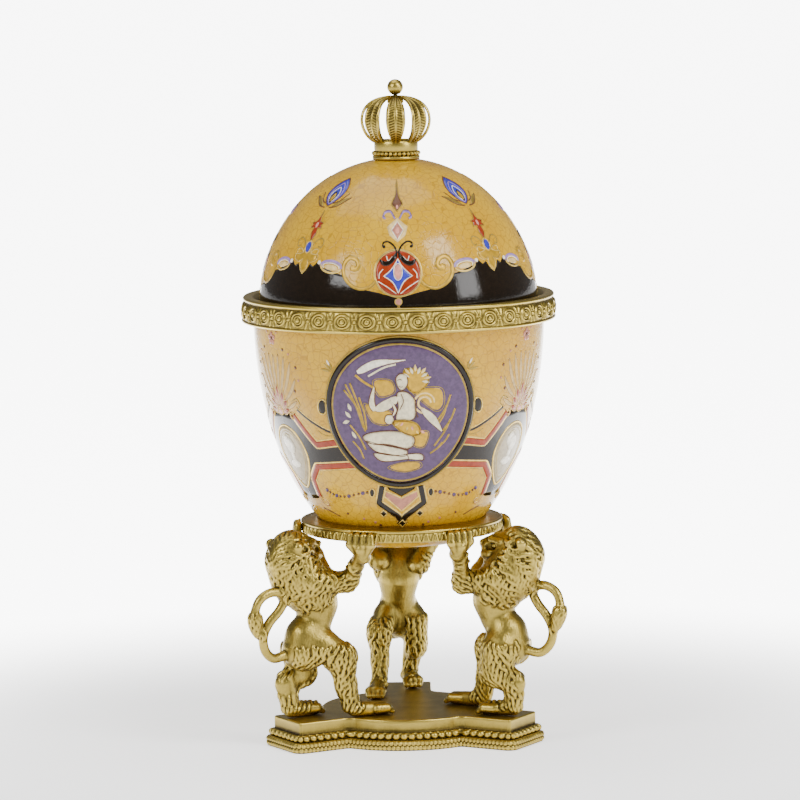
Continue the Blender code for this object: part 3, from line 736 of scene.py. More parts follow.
class Clay:
    """A block of clay on a grid: each point's distance to the surface, negative inside."""

    def __init__(self, low, high, step):
        self.step = step
        self.low = np.array(low, float)
        self.shape = np.ceil((np.array(high) - self.low) / step).astype(int) + 1
        self.field = np.full(self.shape, 4.0, np.float32)

    def axes(self, first, last):
        lines = [
            (self.low[k] + self.step * np.arange(first[k], last[k])).astype(np.float32) for k in range(3)]
        return np.meshgrid(*lines, indexing="ij", sparse=True)

    def limb(self, start, end, blend=2.0, squeeze=1.0, carve=False):
        """Adds or carves a tapered limb: the distance to a line, less the radius there."""
        a, b = np.array(start[:3], float), np.array(end[:3], float)
        reach = max(start[3], end[3]) + blend + 1.0
        first = np.floor((np.minimum(a, b) - reach - self.low) / self.step).astype(int)
        last = np.ceil((np.maximum(a, b) + reach - self.low) / self.step).astype(int) + 1
        first, last = (np.clip(corner, 0, self.shape) for corner in (first, last))
        if (last <= first).any():
            return
        x, y, z = self.axes(first, last)
        run = b - a
        middle = 0.5 * (a[1] + b[1])
        y = middle + (y - middle) / squeeze
        along = (x - a[0]) * run[0] + (y - a[1]) * run[1] + (z - a[2]) * run[2]
        along = np.clip(along / max(float(run @ run), 1e-9), 0, 1)
        away = np.sqrt((x - a[0] - along * run[0]) ** 2 + (y - a[1] - along * run[1]) ** 2
                       + (z - a[2] - along * run[2]) ** 2)
        distance = (away - (start[3] + (end[3] - start[3]) * along)) * squeeze
        window = tuple(slice(i, j) for i, j in zip(first, last))
        old = self.field[window]
        if carve:
            self.field[window] = -soft_least(-old, distance, blend)
        else:
            self.field[window] = soft_least(old, distance, blend)

    def chain(self, points, blend=2.0, squeeze=1.0):
        for start, end in zip(points, points[1:]):
            self.limb(start, end, blend, squeeze)

    def at(self, places):
        """The field at any places, straight between the grid's points."""
        local = np.clip((places - self.low) / self.step, 0, self.shape - 1.001)
        cell = local.astype(int)
        f = local - cell
        total = 0.0
        for corner in np.ndindex(2, 2, 2):
            weight = np.prod([f[:, k] if corner[k] else 1 - f[:, k] for k in range(3)], axis=0)
            total = total + weight * self.field[tuple((cell + corner).T)]
        return total

    def slope(self, places):
        """The unit direction out of the clay."""
        ahead = np.eye(3) * self.step
        out = np.stack([self.at(places + ahead[k]) - self.at(places - ahead[k]) for k in range(3)], axis=-1)
        return unit(out)

    def laid(self, places, height):
        """Places moved straight out or in until they are at a height over the surface."""
        for _ in range(3):
            places = places - self.slope(places) * (self.at(places) - height)[:, None]
        return places

    def skin(self):
        """A point in each cell that the surface crosses, at the mean of its crossings, and a quad round each
        crossed edge of the grid."""
        inside = self.field < 0
        n = np.array(inside.shape) - 1
        count = np.zeros(n, np.int8)
        for c in np.ndindex(2, 2, 2):
            count += inside[c[0]:n[0] + c[0], c[1]:n[1] + c[1], c[2]:n[2] + c[2]]
        cells = np.argwhere((count > 0) & (count < 8))
        number = np.full(n, -1, np.int32)
        number[tuple(cells.T)] = np.arange(len(cells))
        total = np.zeros((len(cells), 3))
        hits = np.zeros(len(cells))
        for axis in range(3):
            ahead = np.eye(3, dtype=int)[axis]
            for c in np.ndindex(2, 2):
                start = np.insert(np.array(c), axis, 0)
                fa = self.field[tuple((cells + start).T)]
                fb = self.field[tuple((cells + start + ahead).T)]
                crossed = (fa < 0) != (fb < 0)
                share = np.where(crossed, fa / np.where(crossed, fa - fb, 1), 0)
                total += np.where(crossed[:, None], start + share[:, None] * ahead, 0)
                hits += crossed
        points = self.low + self.step * (cells + total / hits[:, None])
        quads = []
        for axis in range(3):
            ahead = np.eye(3, dtype=int)[axis]
            u, v = np.eye(3, dtype=int)[(axis + 1) % 3], np.eye(3, dtype=int)[(axis + 2) % 3]
            size = np.array(inside.shape) - ahead
            low = inside[:size[0], :size[1], :size[2]]
            high = inside[ahead[0]:, ahead[1]:, ahead[2]:]
            for edges, flip in ((np.argwhere(low & ~high), False), (np.argwhere(~low & high), True)):
                ring = [edges - u - v, edges - v, edges, edges - u]
                quad = np.stack([number[tuple(corner.T)] for corner in ring], axis=-1)
                quads.append(quad[:, ::-1] if flip else quad)
        return points, np.concatenate(quads)


def soft_least(a, b, blend):
    """The lesser of two distances, rounded where they differ by less than the blend."""
    near = np.clip(blend - abs(a - b), 0, None) / blend
    return np.minimum(a, b) - near**2 * blend / 4


def unit(vectors):
    return vectors / np.maximum(np.linalg.norm(vectors, axis=-1, keepdims=True), 1e-9)


# The lion's limbs as (distance from the axis, to its right, height, radius)
TORSO = [
    (54.2, 2.3, 45, 9.3), (52.6, 2.3, 51, 8.4), (47.6, 2.3, 58, 7.1), (46.2, 2, 65, 8.8),
    (48.7, 1.8, 71, 10.4), (54.5, 1.5, 78, 11.6), (58.7, 2, 87.5, 10.2),
]
BACK_OF_MANE = [(62, 2.3, 85, 8.0), (60.5, 2.3, 74, 5.6)]
HEAD = [(58, 1.6, 90, 8.6), (53.5, 0.6, 90, 6.6)]
RIGHT_ARM = [(52, 9, 76, 6.3), (34.5, 10.5, 75.5, 4.3), (35.4, 19.7, 84, 3.3), (36.6, 26.4, 90, 3.1)]
LEFT_ARM = [(52, -5, 76, 6.3), (35.5, -7.5, 73.5, 4.3), (37.8, -13.5, 85, 3.3), (40.4, -19.4, 90, 3.1)]
RIGHT_THIGH = [(46, 8, 46, 8.0), (39, 11.5, 41, 6.3), (37, 11.2, 28, 4.0), (34.5, 11.5, 19, 3.9)]
LEFT_THIGH = [(52, -4.5, 44, 8.2), (50.5, -5.4, 33.5, 6.0), (59.5, -4.0, 29, 4.6), (58.3, -2.6, 19, 3.8)]
RIGHT_FOOT = [(33, 12, 17, 3.5), (19, 13.4, 16.2, 3.1)]
LEFT_FOOT = [(58, -2.2, 17, 3.4), (45.5, -4, 16.4, 3.2)]
TAIL = [
    (60, 2.3, 43.5, 2.4), (64, 2.3, 43, 2.1), (69.6, 2.8, 42.5, 1.95), (74, 3.6, 46.6, 1.95),
    (75.1, 4.2, 52.9, 1.95), (72.2, 4.4, 58.9, 1.95), (67.2, 5, 64.2, 1.95), (64.6, 5.2, 69, 1.95),
    (66.2, 5.2, 72, 1.95), (71.4, 5, 72.8, 1.95), (76.6, 4.8, 70.2, 1.9), (78.9, 4.2, 65.2, 1.9),
    (78.6, 3.6, 59.9, 2.6), (77.2, 2.8, 54, 1.1),
]
PAW_AZIMUTHS = (37.0, -27.0)
NECK = np.array([56.0, 1.0])
HEAD_TURN = math.radians(14)
FACE = np.array([47.6, -1.0, 87.5])


def lion_body(clay):
    """The lion's smooth body: tapered limbs, blended softly, and its tail."""
    clay.chain(TORSO, 3.0)
    clay.chain(BACK_OF_MANE, 3.0)
    clay.chain(HEAD, 2.0)
    clay.chain(RIGHT_ARM, 2.0)
    clay.chain(LEFT_ARM, 2.0)
    clay.chain(RIGHT_THIGH, 2.5, 0.78)
    clay.chain(LEFT_THIGH, 2.5, 0.78)
    clay.chain(RIGHT_FOOT, 1.5)
    clay.chain(LEFT_FOOT, 1.5)
    clay.chain(curved(TAIL), 0.6)


def lion_face(clay):
    """Forehead, muzzle, jaw, brows, eyes, nose and ears, on a head that is turned to the lion's left."""
    c, s = math.cos(HEAD_TURN), math.sin(HEAD_TURN)

    def limb(start, end, blend, carve=False):
        ends = []
        for rho, v, z, radius in (start, end):
            ahead, aside = rho - NECK[0], v
            ends.append((NECK[0] + ahead * c - aside * s, NECK[1] + ahead * s + aside * c, z, radius))
        clay.limb(*ends, blend, carve=carve)

    limb((56, 0, 93.0, 4.8), (49.0, 0, 92.4, 3.6), 1.2)
    limb((54.0, 0, 90.0, 6.2), (46.4, 0, 89.4, 4.3), 1.2)
    limb((54.0, 0, 86.0, 6.0), (46.8, 0, 85.6, 4.1), 1.2)
    limb((50.0, 0, 94.0, 2.4), (45.0, 0, 92.4, 2.1), 0.8)
    limb((52.0, 0, 82.2, 3.4), (46.4, 0, 81.8, 2.8), 0.6)
    for side in (-1, 1):
        limb((47.2, side * 2.8, 87.4, 2.8), (44.6, side * 1.7, 87.0, 2.5), 0.4)
        limb((42.9, side * 1.1, 92.2, 1.3), (42.5, side * 0.4, 91.0, 1.1), 0.3)
        limb((53.0, side * 5.6, 92.8, 1.7), (47.4, side * 2.2, 93.6, 1.6), 0.4)
        limb((54.4, side * 6.0, 87.6, 3.0), (50.4, side * 5.0, 85.2, 2.4), 0.8)
        limb((49.4, side * 4.7, 90.7, 1.5), (45.6, side * 4.5, 90.7, 1.8), 0.3, carve=True)
        limb((49.4, side * 4.0, 91.0, 1.1), (49.3, side * 3.8, 91.0, 1.1), 0.1)
        limb((62.0, side * 7.2, 90.0, 2.9), (62.6, side * 9.0, 93.0, 2.5), 0.6)
        limb((60.8, side * 9.4, 92.2, 1.5), (59.4, side * 10.6, 92.4, 1.7), 0.3, carve=True)
    limb((51.4, -6.4, 84.6, 0.6), (42.2, 0, 84.4, 0.8), 0.3, carve=True)
    limb((51.4, 6.4, 84.6, 0.6), (42.2, 0, 84.4, 0.8), 0.3, carve=True)
    limb((41.8, 0, 90.4, 0.5), (41.8, 0, 85.0, 0.5), 0.3, carve=True)


def lion_paws(clay):
    """Forepaws that grip the support ring from outside, and hind paws with toes and claws."""
    for azimuth in PAW_AZIMUTHS:
        middle = math.radians(azimuth)

        def at(turn, out, z, radius):
            return (out * math.cos(turn), out * math.sin(turn), z, radius)

        clay.limb(at(middle, 44.5, 88.6, 3.4), at(middle, 47.4, 92.4, 3.2), 1.2)
        for toe in (-1.5, -0.5, 0.5, 1.5):
            turn = middle + math.radians(3.9 * toe)
            root = middle + math.radians(1.5 * toe)
            clay.limb(at(root, 46.4, 89.6, 1.6), at(turn, 48.1, 94.4, 2.15), 0.6)
            clay.limb(at(turn, 48.1, 94.4, 2.15), at(turn, 48.0, 98.2, 1.7), 0.4)
            clay.limb(at(turn, 48.0, 98.0, 1.5), at(turn, 46.6, 99.6, 0.8), 0.2)
    for foot in (RIGHT_FOOT, LEFT_FOOT):
        rho, v, z, _ = foot[-1]
        for toe in (-1.5, -0.5, 0.5, 1.5):
            knuckle = (rho - 0.4, v + toe * 1.9, z + 0.5)
            clay.limb((rho + 4.4, v + toe * 1.3, z + 0.4, 2.3), (*knuckle, 2.15), 0.4)
            clay.limb((*knuckle, 2.0), (rho - 3.0, v + toe * 2.0, z - 1.2, 1.3), 0.3)


def lion_tendons(clay):
    """Long raised lines down the lower legs and forearms."""
    for shin, spread in ((RIGHT_THIGH, 2.6), (LEFT_THIGH, 2.8)):
        top, foot = shin[2], shin[3]
        for side in (-1, 0, 1):
            start = (top[0] - 0.5, top[1] + side * spread, top[2] + 3, 1.5)
            end = (foot[0] - 1.2, foot[1] + side * spread * 0.9, foot[2] + 1, 1.1)
            clay.limb(start, end, 0.5)
    for arm in (RIGHT_ARM, LEFT_ARM):
        elbow, wrist = arm[1], arm[3]
        for side in (-1, 1):
            start = (elbow[0] + side * 1.2, elbow[1], elbow[2] - 2.2, 1.9)
            end = (wrist[0] + side * 1.8, wrist[1], wrist[2] - 1.5, 1.3)
            clay.limb(start, end, 0.6)


def scattered(clay, low, high, spacing, wanted, seed):
    """Places on the clay's surface, a spacing apart, inside a box and where wanted."""
    rng = np.random.default_rng(seed)
    tries = rng.uniform(low, high, (26000, 3))
    tries = tries[abs(clay.at(tries)) < 2.5]
    tries = clay.laid(tries, 0.2)
    tries = tries[wanted(tries)]
    kept = np.empty((len(tries), 3))
    count = 0
    for place in tries:
        if count == 0 or ((kept[:count] - place) ** 2).sum(1).min() > spacing**2:
            kept[count] = place
            count += 1
    return kept[:count]


def combed(clay, roots, flow, steps, stride, sway, height, seed):
    """Paths of locks: each follows the flow over the surface and sways nearly in step with the next."""
    rng = np.random.default_rng(seed)
    phase = roots @ np.array([0.42, 0.55, 0.30]) + rng.uniform(0, 0.9, len(roots))
    strength = sway * rng.uniform(0.8, 1.2, len(roots))
    paths = [clay.laid(roots, height)]
    for i in range(steps):
        here = paths[-1]
        out = clay.slope(here)
        ahead = flow(here)
        ahead = unit(ahead - out * (ahead * out).sum(1, keepdims=True))
        turn = (strength * np.sin(phase + 0.75 * i))[:, None]
        ahead = ahead * np.cos(turn) + np.cross(out, ahead) * np.sin(turn)
        paths.append(clay.laid(here + ahead * stride, height * (1.0 + 0.5 * i / steps)))
    return np.stack(paths, axis=1)


def lay_locks(clay, paths, thick, tip, blend=0.3):
    """Adds each path as a lock of hair, fullest near its root and drawn out to its tip."""
    steps = paths.shape[1] - 1
    share = np.arange(steps + 1) / steps
    radius = tip + (thick - tip) * np.clip(np.sin(math.pi * (0.28 + 0.72 * share)), 0, 1) ** 0.8
    for path in paths:
        for i in range(steps):
            clay.limb((*path[i], radius[i]), (*path[i + 1], radius[i + 1]), blend)


def mane_flow(here):
    """Away from the face, then down."""
    away = unit(here - FACE)
    down = np.array([0.15, 0.0, -1.0])
    weight = np.clip((92 - here[:, 2:]) / 12, 0.15, 1.6)
    return away + down * weight


def leg_flow(here):
    return np.array([0.25, 0.0, -1.0]) + 0 * here


def arm_flow(here):
    return np.array([0.75, 0.0, -0.7]) + 0 * here


def tail_flow(here):
    return np.array([-0.2, -0.1, -1.0]) + 0 * here


def lion_hair(clay, spacing):
    """Every lock of the lion, combed over its smooth body before the first is laid."""

    tail = np.array(curved(TAIL))[:, :3]

    def mane(p):
        ahead, aside = p[:, 0] - NECK[0], p[:, 1] - NECK[1]
        local = ahead * math.cos(HEAD_TURN) + aside * math.sin(HEAD_TURN)
        across = aside * math.cos(HEAD_TURN) - ahead * math.sin(HEAD_TURN)
        face = (local < -0.6) & (abs(across) < 9.0) & (p[:, 2] > 79.5) & (p[:, 2] < 97)
        arms = (p[:, 0] < 45.0) & (p[:, 2] < 82)
        reach = 69.0 - 4.0 * np.sin((p[:, 0] - 48) / 14)
        near_tail = np.linalg.norm(p[:, None] - tail[None], axis=2).min(axis=1) < 3.0
        return (p[:, 2] > reach) & ~face & ~arms & ~near_tail & (p[:, 1] > -16) & (p[:, 1] < 20)

    def thighs(p):
        return (p[:, 2] > 27) & (p[:, 2] < 48) & (p[:, 0] < 61) & (abs(p[:, 1] - 2.3) > 3.5)

    def arms(p):
        outer = (p[:, 1] > 11.0) | (p[:, 1] < -8.0)
        return (p[:, 2] > 68.5) & (p[:, 2] < 80) & (p[:, 0] < 46) & outer

    def ankles(p):
        return (p[:, 2] > 18) & (p[:, 2] < 25)

    def tuft(p):
        return (p[:, 0] > 75.5) & (p[:, 2] < 64) & (p[:, 2] > 55)

    jobs = [
        (((40, -17, 64), (74, 21, 101)), spacing, mane, mane_flow, 8, 0.9, 0.8, 0.2, 0.9, 0.2, 11),
        (((30, -16, 26), (64, 22, 50)), spacing, thighs, leg_flow, 6, 0.8, 0.5, 0.1, 0.75, 0.2, 12),
        (((33, -13, 67), (47, 17, 82)), spacing, arms, arm_flow, 4, 0.8, 0.3, 0.05, 0.72, 0.25, 13),
        (((30, -10, 17), (63, 17, 26)), spacing, ankles, leg_flow, 4, 0.8, 0.3, 0.1, 0.75, 0.2, 15),
        (((74, 0, 54), (83, 8, 64)), 0.75 * spacing, tuft, tail_flow, 5, 0.9, 0.5, 0.2, 0.7, 0.2, 14),
    ]
    laid = []
    for (low, high), apart, wanted, flow, steps, stride, sway, height, thick, tip, seed in jobs:
        roots = scattered(clay, low, high, apart, wanted, seed)
        laid.append((combed(clay, roots, flow, steps, stride, sway, height, seed), thick, tip))
    for paths, thick, tip in laid:
        lay_locks(clay, paths, thick, tip)


def lion_skin():
    """Points and quads of one lion that faces the axis along -X, cut at the plinth and round the ring."""
    own = settings().lion
    clay = Clay((13.0, -33.0, 12.5), (83.5, 37.0, 102.0), own.voxel / MM)
    lion_body(clay)
    lion_hair(clay, own.lock_spacing / MM)
    lion_face(clay)
    lion_paws(clay)
    lion_tendons(clay)
    x, y, z = clay.axes((0, 0, 0), clay.shape)
    ring_room = np.maximum(np.sqrt(x**2 + y**2) - (RING_RADIUS + 0.15), RING_BOTTOM - 0.15 - z)
    floor_room = PLINTH_TOP + 0.1 - z
    clay.field = np.maximum(np.maximum(clay.field, floor_room), -ring_room)
    return clay.skin()


class EGGBOX_OT_lions(bpy.types.Operator):
    """Three rampant lions, modelled as clay on a grid and turned to their places."""

    bl_idname = "eggbox.lions"
    bl_label = "Lions"

    def execute(self, context):
        points, quads = lion_skin()
        finish = brass_finish("brass_lion", -0.05, 1.6)
        for name, azimuth in (("lion_back", 90), ("lion_front_left", 210), ("lion_front_right", 330)):
            c, s = math.cos(math.radians(azimuth)), math.sin(math.radians(azimuth))
            turn = np.array([[c, s, 0], [-s, c, 0], [0, 0, 1]])
            mesh_object(name + "_cast", points @ turn, quads, finish, "brass", [name], weld=False)
        return {"FINISHED"}


class EGGBOX_OT_support_ring(bpy.types.Operator):
    """The ring that the lions hold up: a bright lip over waved scrolls, and a ledge up to the bowl."""

    bl_idname = "eggbox.support_ring"
    bl_label = "Support ring"

    def execute(self, context):
        top = RING_LEDGE - 1.0
        waves = 66

        def relief(angle, height, radius):
            up = (height - RING_BOTTOM) / (top - 1.6 - RING_BOTTOM)
            side = np.clip(1 - (2 * up - 1) ** 4, 0, 1) * (radius > RING_RADIUS - 1) * (height < top - 1.4)
            vine = np.cos(waves * angle) * 0.55 + 0.5
            curl = np.exp(-((up - vine) / 0.16) ** 2)
            drop = np.exp(-((up - 1 + vine) / 0.2) ** 2) * np.cos(2 * waves * angle) ** 2
            return side * (0.65 * curl + 0.35 * drop)

        side_z = np.linspace(RING_BOTTOM + 0.4, top - 1.5, 22)
        side_r = np.full(22, RING_RADIUS - 0.75)
        lip = np.linspace(-0.45 * math.pi, 0.5 * math.pi, 8)
        lip_r = RING_RADIUS - 0.75 + 0.75 * np.cos(lip)
        lip_z = top - 0.75 + 0.75 * np.sin(lip)
        radius = [34.0, RING_RADIUS - 1.4, *side_r, *lip_r, RING_RADIUS - 1.6]
        height = [RING_BOTTOM + 0.1, RING_BOTTOM + 0.1, *side_z, *lip_z, top - 0.25]
        ledge = float(bowl_radius(np.array(RING_LEDGE))) + 0.15
        radius += [ledge + 0.5, ledge, float(bowl_radius(np.array(RING_BOTTOM + 3))) + 0.2]
        height += [RING_LEDGE - 0.1, RING_LEDGE - 0.3, RING_BOTTOM + 3]
        points = turned_points(radius, height, 924, relief)
        brass_cast("ring", as_grid(points, wrap_rows=True), 0.12, "support_ring")
        return {"FINISHED"}


class EGGBOX_OT_rim_band(bpy.types.Operator):
    """The wide band round the bowl's rim: oval rosettes between plain lips, with palmettes between them."""

    bl_idname = "eggbox.rim_band"
    bl_label = "Rim band"

    def execute(self, context):
        rosettes = 39
        pitch = TURN * BAND_RADIUS / rosettes
        middle, half = BAND_BOTTOM + 5.4, 4.1

        def relief(angle, height, radius):
            across = ((angle * rosettes / TURN + 0.5) % 1 - 0.5) * pitch
            up = height - middle
            field = np.clip(1 - (abs(up) / half) ** 8, 0, 1) * (radius > BAND_RADIUS - 3)
            reach = np.hypot(across / 3.75, up / 3.3)
            ring = np.exp(-((reach - 0.88) / 0.13) ** 2)
            inner = np.exp(-((reach - 0.52) / 0.09) ** 2) * 0.55
            boss = np.sqrt(np.clip(1 - (np.hypot(across, up) / 1.25) ** 2, 0, 1))
            gap = pitch / 2 - abs(across)
            bead = np.sqrt(np.clip(1 - np.hypot(gap / 0.75, (up + 0.1) / 0.75) ** 2, 0, 1))
            husk = np.exp(-((gap - 0.25 - 0.33 * abs(up)) / 0.33) ** 2) * (abs(up) > 1.1) * (gap < 1.9)
            return field * (0.85 * ring + inner + 0.95 * boss + 0.8 * bead + 0.6 * husk)

        face_z = np.linspace(middle - half, middle + half, 38)
        face_r = BAND_RADIUS - 1.15 - 0.013 * np.clip(face_z - middle + 1.0, 0, None) ** 2.6
        low = np.linspace(-0.62 * math.pi, 0.35 * math.pi, 8)
        high = np.linspace(-0.3 * math.pi, 0.62 * math.pi, 8)
        lip_low = (BAND_RADIUS - 1.35 + 0.75 * np.cos(low), BAND_BOTTOM + 0.78 + 0.75 * np.sin(low))
        lip_high = (face_r[-1] - 0.1 + 0.9 * np.cos(high), BAND_TOP - 0.92 + 0.9 * np.sin(high))
        under, inner = BOWL_RADIUS + 0.2, LID_RADIUS + 3.1
        ledge_r, ledge_z, rim = LID_RADIUS - LID_WALL - 0.4, LID_BOTTOM - 0.3, BOWL_TOP + 0.3
        radius = [under, under + 2.0, *lip_low[0], *face_r, *lip_high[0]]
        height = [BAND_BOTTOM + 0.4, BAND_BOTTOM, *lip_low[1], *face_z, *lip_high[1]]
        radius += [inner + 0.8, inner, inner, ledge_r, ledge_r, under]
        height += [BAND_TOP - 0.1, BAND_TOP - 0.6, ledge_z, ledge_z, rim, rim]
        points = turned_points(radius, height, rosettes * 28, relief)
        brass_cast("band", as_grid(points, wrap_rows=True), 0.05, "rim_band")
        return {"FINISHED"}


class EGGBOX_OT_shells(bpy.types.Operator):
    """The crackle-glazed bowl and lid, hollow, with walls of their true thickness."""

    bl_idname = "eggbox.shells"
    bl_label = "Bowl and lid"

    def execute(self, context):
        glaze = glaze_finish("crackle_glaze")
        outer = np.linspace(BOWL_BOTTOM, BOWL_TOP - 0.8, 90)
        inner = np.linspace(BOWL_TOP - 0.8, BOWL_BOTTOM + BOWL_WALL, 30)
        rim = np.linspace(0, math.pi, 7)
        rim_r = BOWL_RADIUS - BOWL_WALL / 2 + BOWL_WALL / 2 * np.cos(rim)
        rim_z = BOWL_TOP - 0.8 + 0.8 * np.sin(rim)
        radius = [0, *bowl_radius(outer), *rim_r, *(bowl_radius(inner) - BOWL_WALL), 0]
        height = [BOWL_BOTTOM, *outer, *rim_z, *inner, BOWL_BOTTOM + BOWL_WALL]
        points = turned_points(radius, height, 320)
        mesh_object("bowl_shell", *as_grid(points), glaze, "crackle_glaze", ["bowl"])
        up = np.linspace(0, math.pi / 2, 70)
        flat = 1 - LID_FLATTENING * np.sin(2 * up)
        radius = [*(LID_RADIUS * np.cos(up) * flat), *((LID_RADIUS - LID_WALL) * np.cos(up) * flat)[::-1]]
        over = LID_SPRING + LID_HEIGHT * np.sin(up)
        under = LID_SPRING + (LID_HEIGHT - LID_WALL) * np.sin(up)
        height = [*over, *under[::-1]]
        foot = [LID_RADIUS - LID_WALL, LID_RADIUS - LID_WALL + 0.6, LID_RADIUS - 0.6, LID_RADIUS]
        foot_z = [LID_BOTTOM + 0.6, LID_BOTTOM, LID_BOTTOM, LID_BOTTOM + 0.6]
        points = turned_points([*foot, *radius], [*foot_z, *height], 320)
        mesh_object("lid_shell", *as_grid(points, wrap_rows=True), glaze, "crackle_glaze", ["lid"])
        return {"FINISHED"}


# Lower edge of the lid's yellow ground, as (degrees from a rosette, height), up to the small motif
LID_EDGE = (
    (0, 206.5), (8, 209.0), (16, 210.8), (21, 213.0), (24, 216.6), (28, 217.5), (31, 218.8),
    (35, 219.6), (37.5, 221.8), (39.5, 219.8), (41.5, 221.0), (43, 218.2), (45, 217.0))


def lid_dark_zone():
    """The black enamel zone round the lid's foot, up to the scalloped edge, as one closed grid."""
    steps = 1440
    degrees = np.arange(steps) * 360 / steps
    folded = abs((degrees + 45) % 90 - 45)
    edge = np.interp(folded, *zip(*LID_EDGE))
    share = np.concatenate([np.linspace(0, 1, 16), [1.0, 0.0]])[:, None]
    lift = np.concatenate([np.full(15, 0.07), [0.05, -0.15, -0.15]])[:, None]
    foot = LID_BOTTOM + 0.8
    z = foot + (edge[None, :] - foot) * share
    radius = lid_radius(z)
    flat = np.radians(degrees)[None, :] * radius + 1j * z
    return as_grid(LID_SKIN.at(flat, lift + 0 * z, 0.0), wrap_rows=True)


class EGGBOX_OT_lid_paint(bpy.types.Operator):
    """Enamel on the lid: the dark zone, four rosettes with spears, and four small motifs between them."""

    bl_idname = "eggbox.lid_paint"
    bl_label = "Lid paint"

    def execute(self, context):
        rosette = Paint(LID_SKIN, (0, 90, 180, 270))
        wings = Paint(LID_SKIN, (0, 90, 180, 270), mirrored=True)
        small = Paint(LID_SKIN, (45, 135, 225, 315))
        sides = Paint(LID_SKIN, (45, 135, 225, 315), mirrored=True)
        rosette.grids["black"] = [lid_dark_zone()]
        self.rosette(rosette, wings)
        self.scallops(wings)
        self.spear(rosette, wings)
        self.small_motif(small, sides)
        self.feather(small, sides)
        lay_paint("lid_paint", [rosette, wings, small, sides])
        return {"FINISHED"}

    def rosette(self, one, pair):
        """A red rosette with a blue star and a pink heart."""
        middle = 217.4j
        one.outlined("red", "gold", oval(middle, 10.4, 10.1, count=60), 0.14, 1.0, rings=5)
        tips = [middle + 6.2j, middle - 6.3 - 1.2j, middle - 8.6j, middle + 6.3 - 1.2j]
        waist = [middle + 2.3 + 2.4j, middle - 2.3 + 2.4j, middle - 2.4 - 3.8j, middle + 2.4 - 3.8j]
        star = []
        for k in range(4):
            for start, end in ((waist[k], tips[k]), (tips[k], waist[(k + 1) % 4])):
                inner = start if start in waist else end
                bend = 0.55 * start + 0.45 * end
                inward = middle - 0.8j - bend
                bend += 0.25 * inward / abs(inward) * (1 if inner == start else 0.6)
                star.append(eased([start, bend, end])[:-1])
        one.outlined("blue", "white", np.concatenate(star), 0.24, 0.45, rings=3, centre=middle - 0.8j)
        one.outlined("pink", "white", oval(middle + 0.6j, 1.9, 3.6, count=24), 0.36, 0.4)
        pair.stroke("white", eased([8.9 + 214.0j, 5.0 + 211.6j, 0.9 + 208.6j]), 0.45, 0.24)
        pair.stroke("white", eased([2.2 + 224.6j, 4.2 + 222.8j, 5.0 + 224.8j]), 0.5, 0.24)
        pair.stroke("white", eased([6.6 + 219.2j, 8.2 + 217.3j, 8.4 + 215.2j]), 0.45, 0.24)
        comma = eased([0.2 + 227.0j, 2.4 + 224.0j, 5.2 + 222.6j, 7.4 + 222.6j, 8.3 + 223.6j, 7.0 + 221.0j,
                       4.6 + 220.6j, 2.2 + 222.0j, 0.2 + 224.4j])
        pair.fill("black", comma, 0.32, rings=2, centre=4.6 + 221.9j)
        path = eased([0.2 + 226.0j, 1.6 + 229.0j, 4.0 + 230.9j, 6.0 + 230.6j, 6.6 + 229.2j, 5.9 + 228.5j])
        pair.stroke("black", path, np.linspace(0.9, 0.7, len(path)), 0.28)
        pair.dots("black", [6.0 + 228.8j], 0.65)
        one.outlined("pink", "gold", oval(204.9j, 1.5, 1.5, count=18), 0.3, 0.6)
        one.fill("gold", leaf(202.4j, 3.2, 1.2, 90), 0.2)

    def scallops(self, pair):
        """Gold swags beside each rosette that end in a volute."""
        path = eased([9.9 + 214.2j, 12.2 + 211.9j, 16.6 + 210.6j, 21.2 + 212.2j, 24.4 + 216.0j, 24.6 + 220.6j,
                      22.0 + 223.9j, 18.8 + 223.4j, 17.6 + 220.9j, 19.2 + 219.2j, 20.6 + 220.2j])
        t = np.linspace(0, 1, len(path))
        pair.stroke("old_gold", path, 1.5 + 2.4 * t**1.5 * (1 - t) ** 0.3, 0.2)
        pair.stroke("amber", path, 0.9 + 2.2 * t**1.5 * (1 - t) ** 0.3, 0.3)
        pair.dots("amber", [20.2 + 219.6j], 1.5)

    def spear(self, one, pair):
        """The pale diamond, lilac scrolls and spear over each rosette."""
        glow = dense([241.0j, 4.6 + 237.2j, 3.6 + 233.6j, 230.6j, -3.6 + 233.6j, -4.6 + 237.2j, 241.0j])[:-1]
        one.fill("glow", glow, 0.05, rings=3, centre=236j)
        kite = dense([239.4j, 2.6 + 235.8j, 231.6j, -2.6 + 235.8j, 239.4j], 0.9)[:-1]
        one.outlined("rose", "white", kite, 0.14, 0.4, centre=235.6j)
        one.fill("pink", oval(235.7j, 1.0, 1.5, count=16), 0.24)
        path = eased([1.0 + 240.6j, 2.8 + 243.4j, 5.2 + 243.2j, 6.2 + 241.4j, 5.2 + 240.6j])
        pair.stroke("lilac", path, 0.9, 0.2)
        pair.stroke("purple", path + 0.55j, 0.35, 0.26)
        tall = eased([0.0 + 256.6j, 0.45 + 252.0j, 1.0 + 249.6j, 2.4 + 246.8j, 1.2 + 245.2j, 0.0 + 243.6j], 4)
        one.outlined("brown", "old_gold", mirrored(tall), 0.16, 0.5, centre=247.5j)
        one.fill("pink", oval(245.4j, 0.6, 0.9, count=12), 0.3)

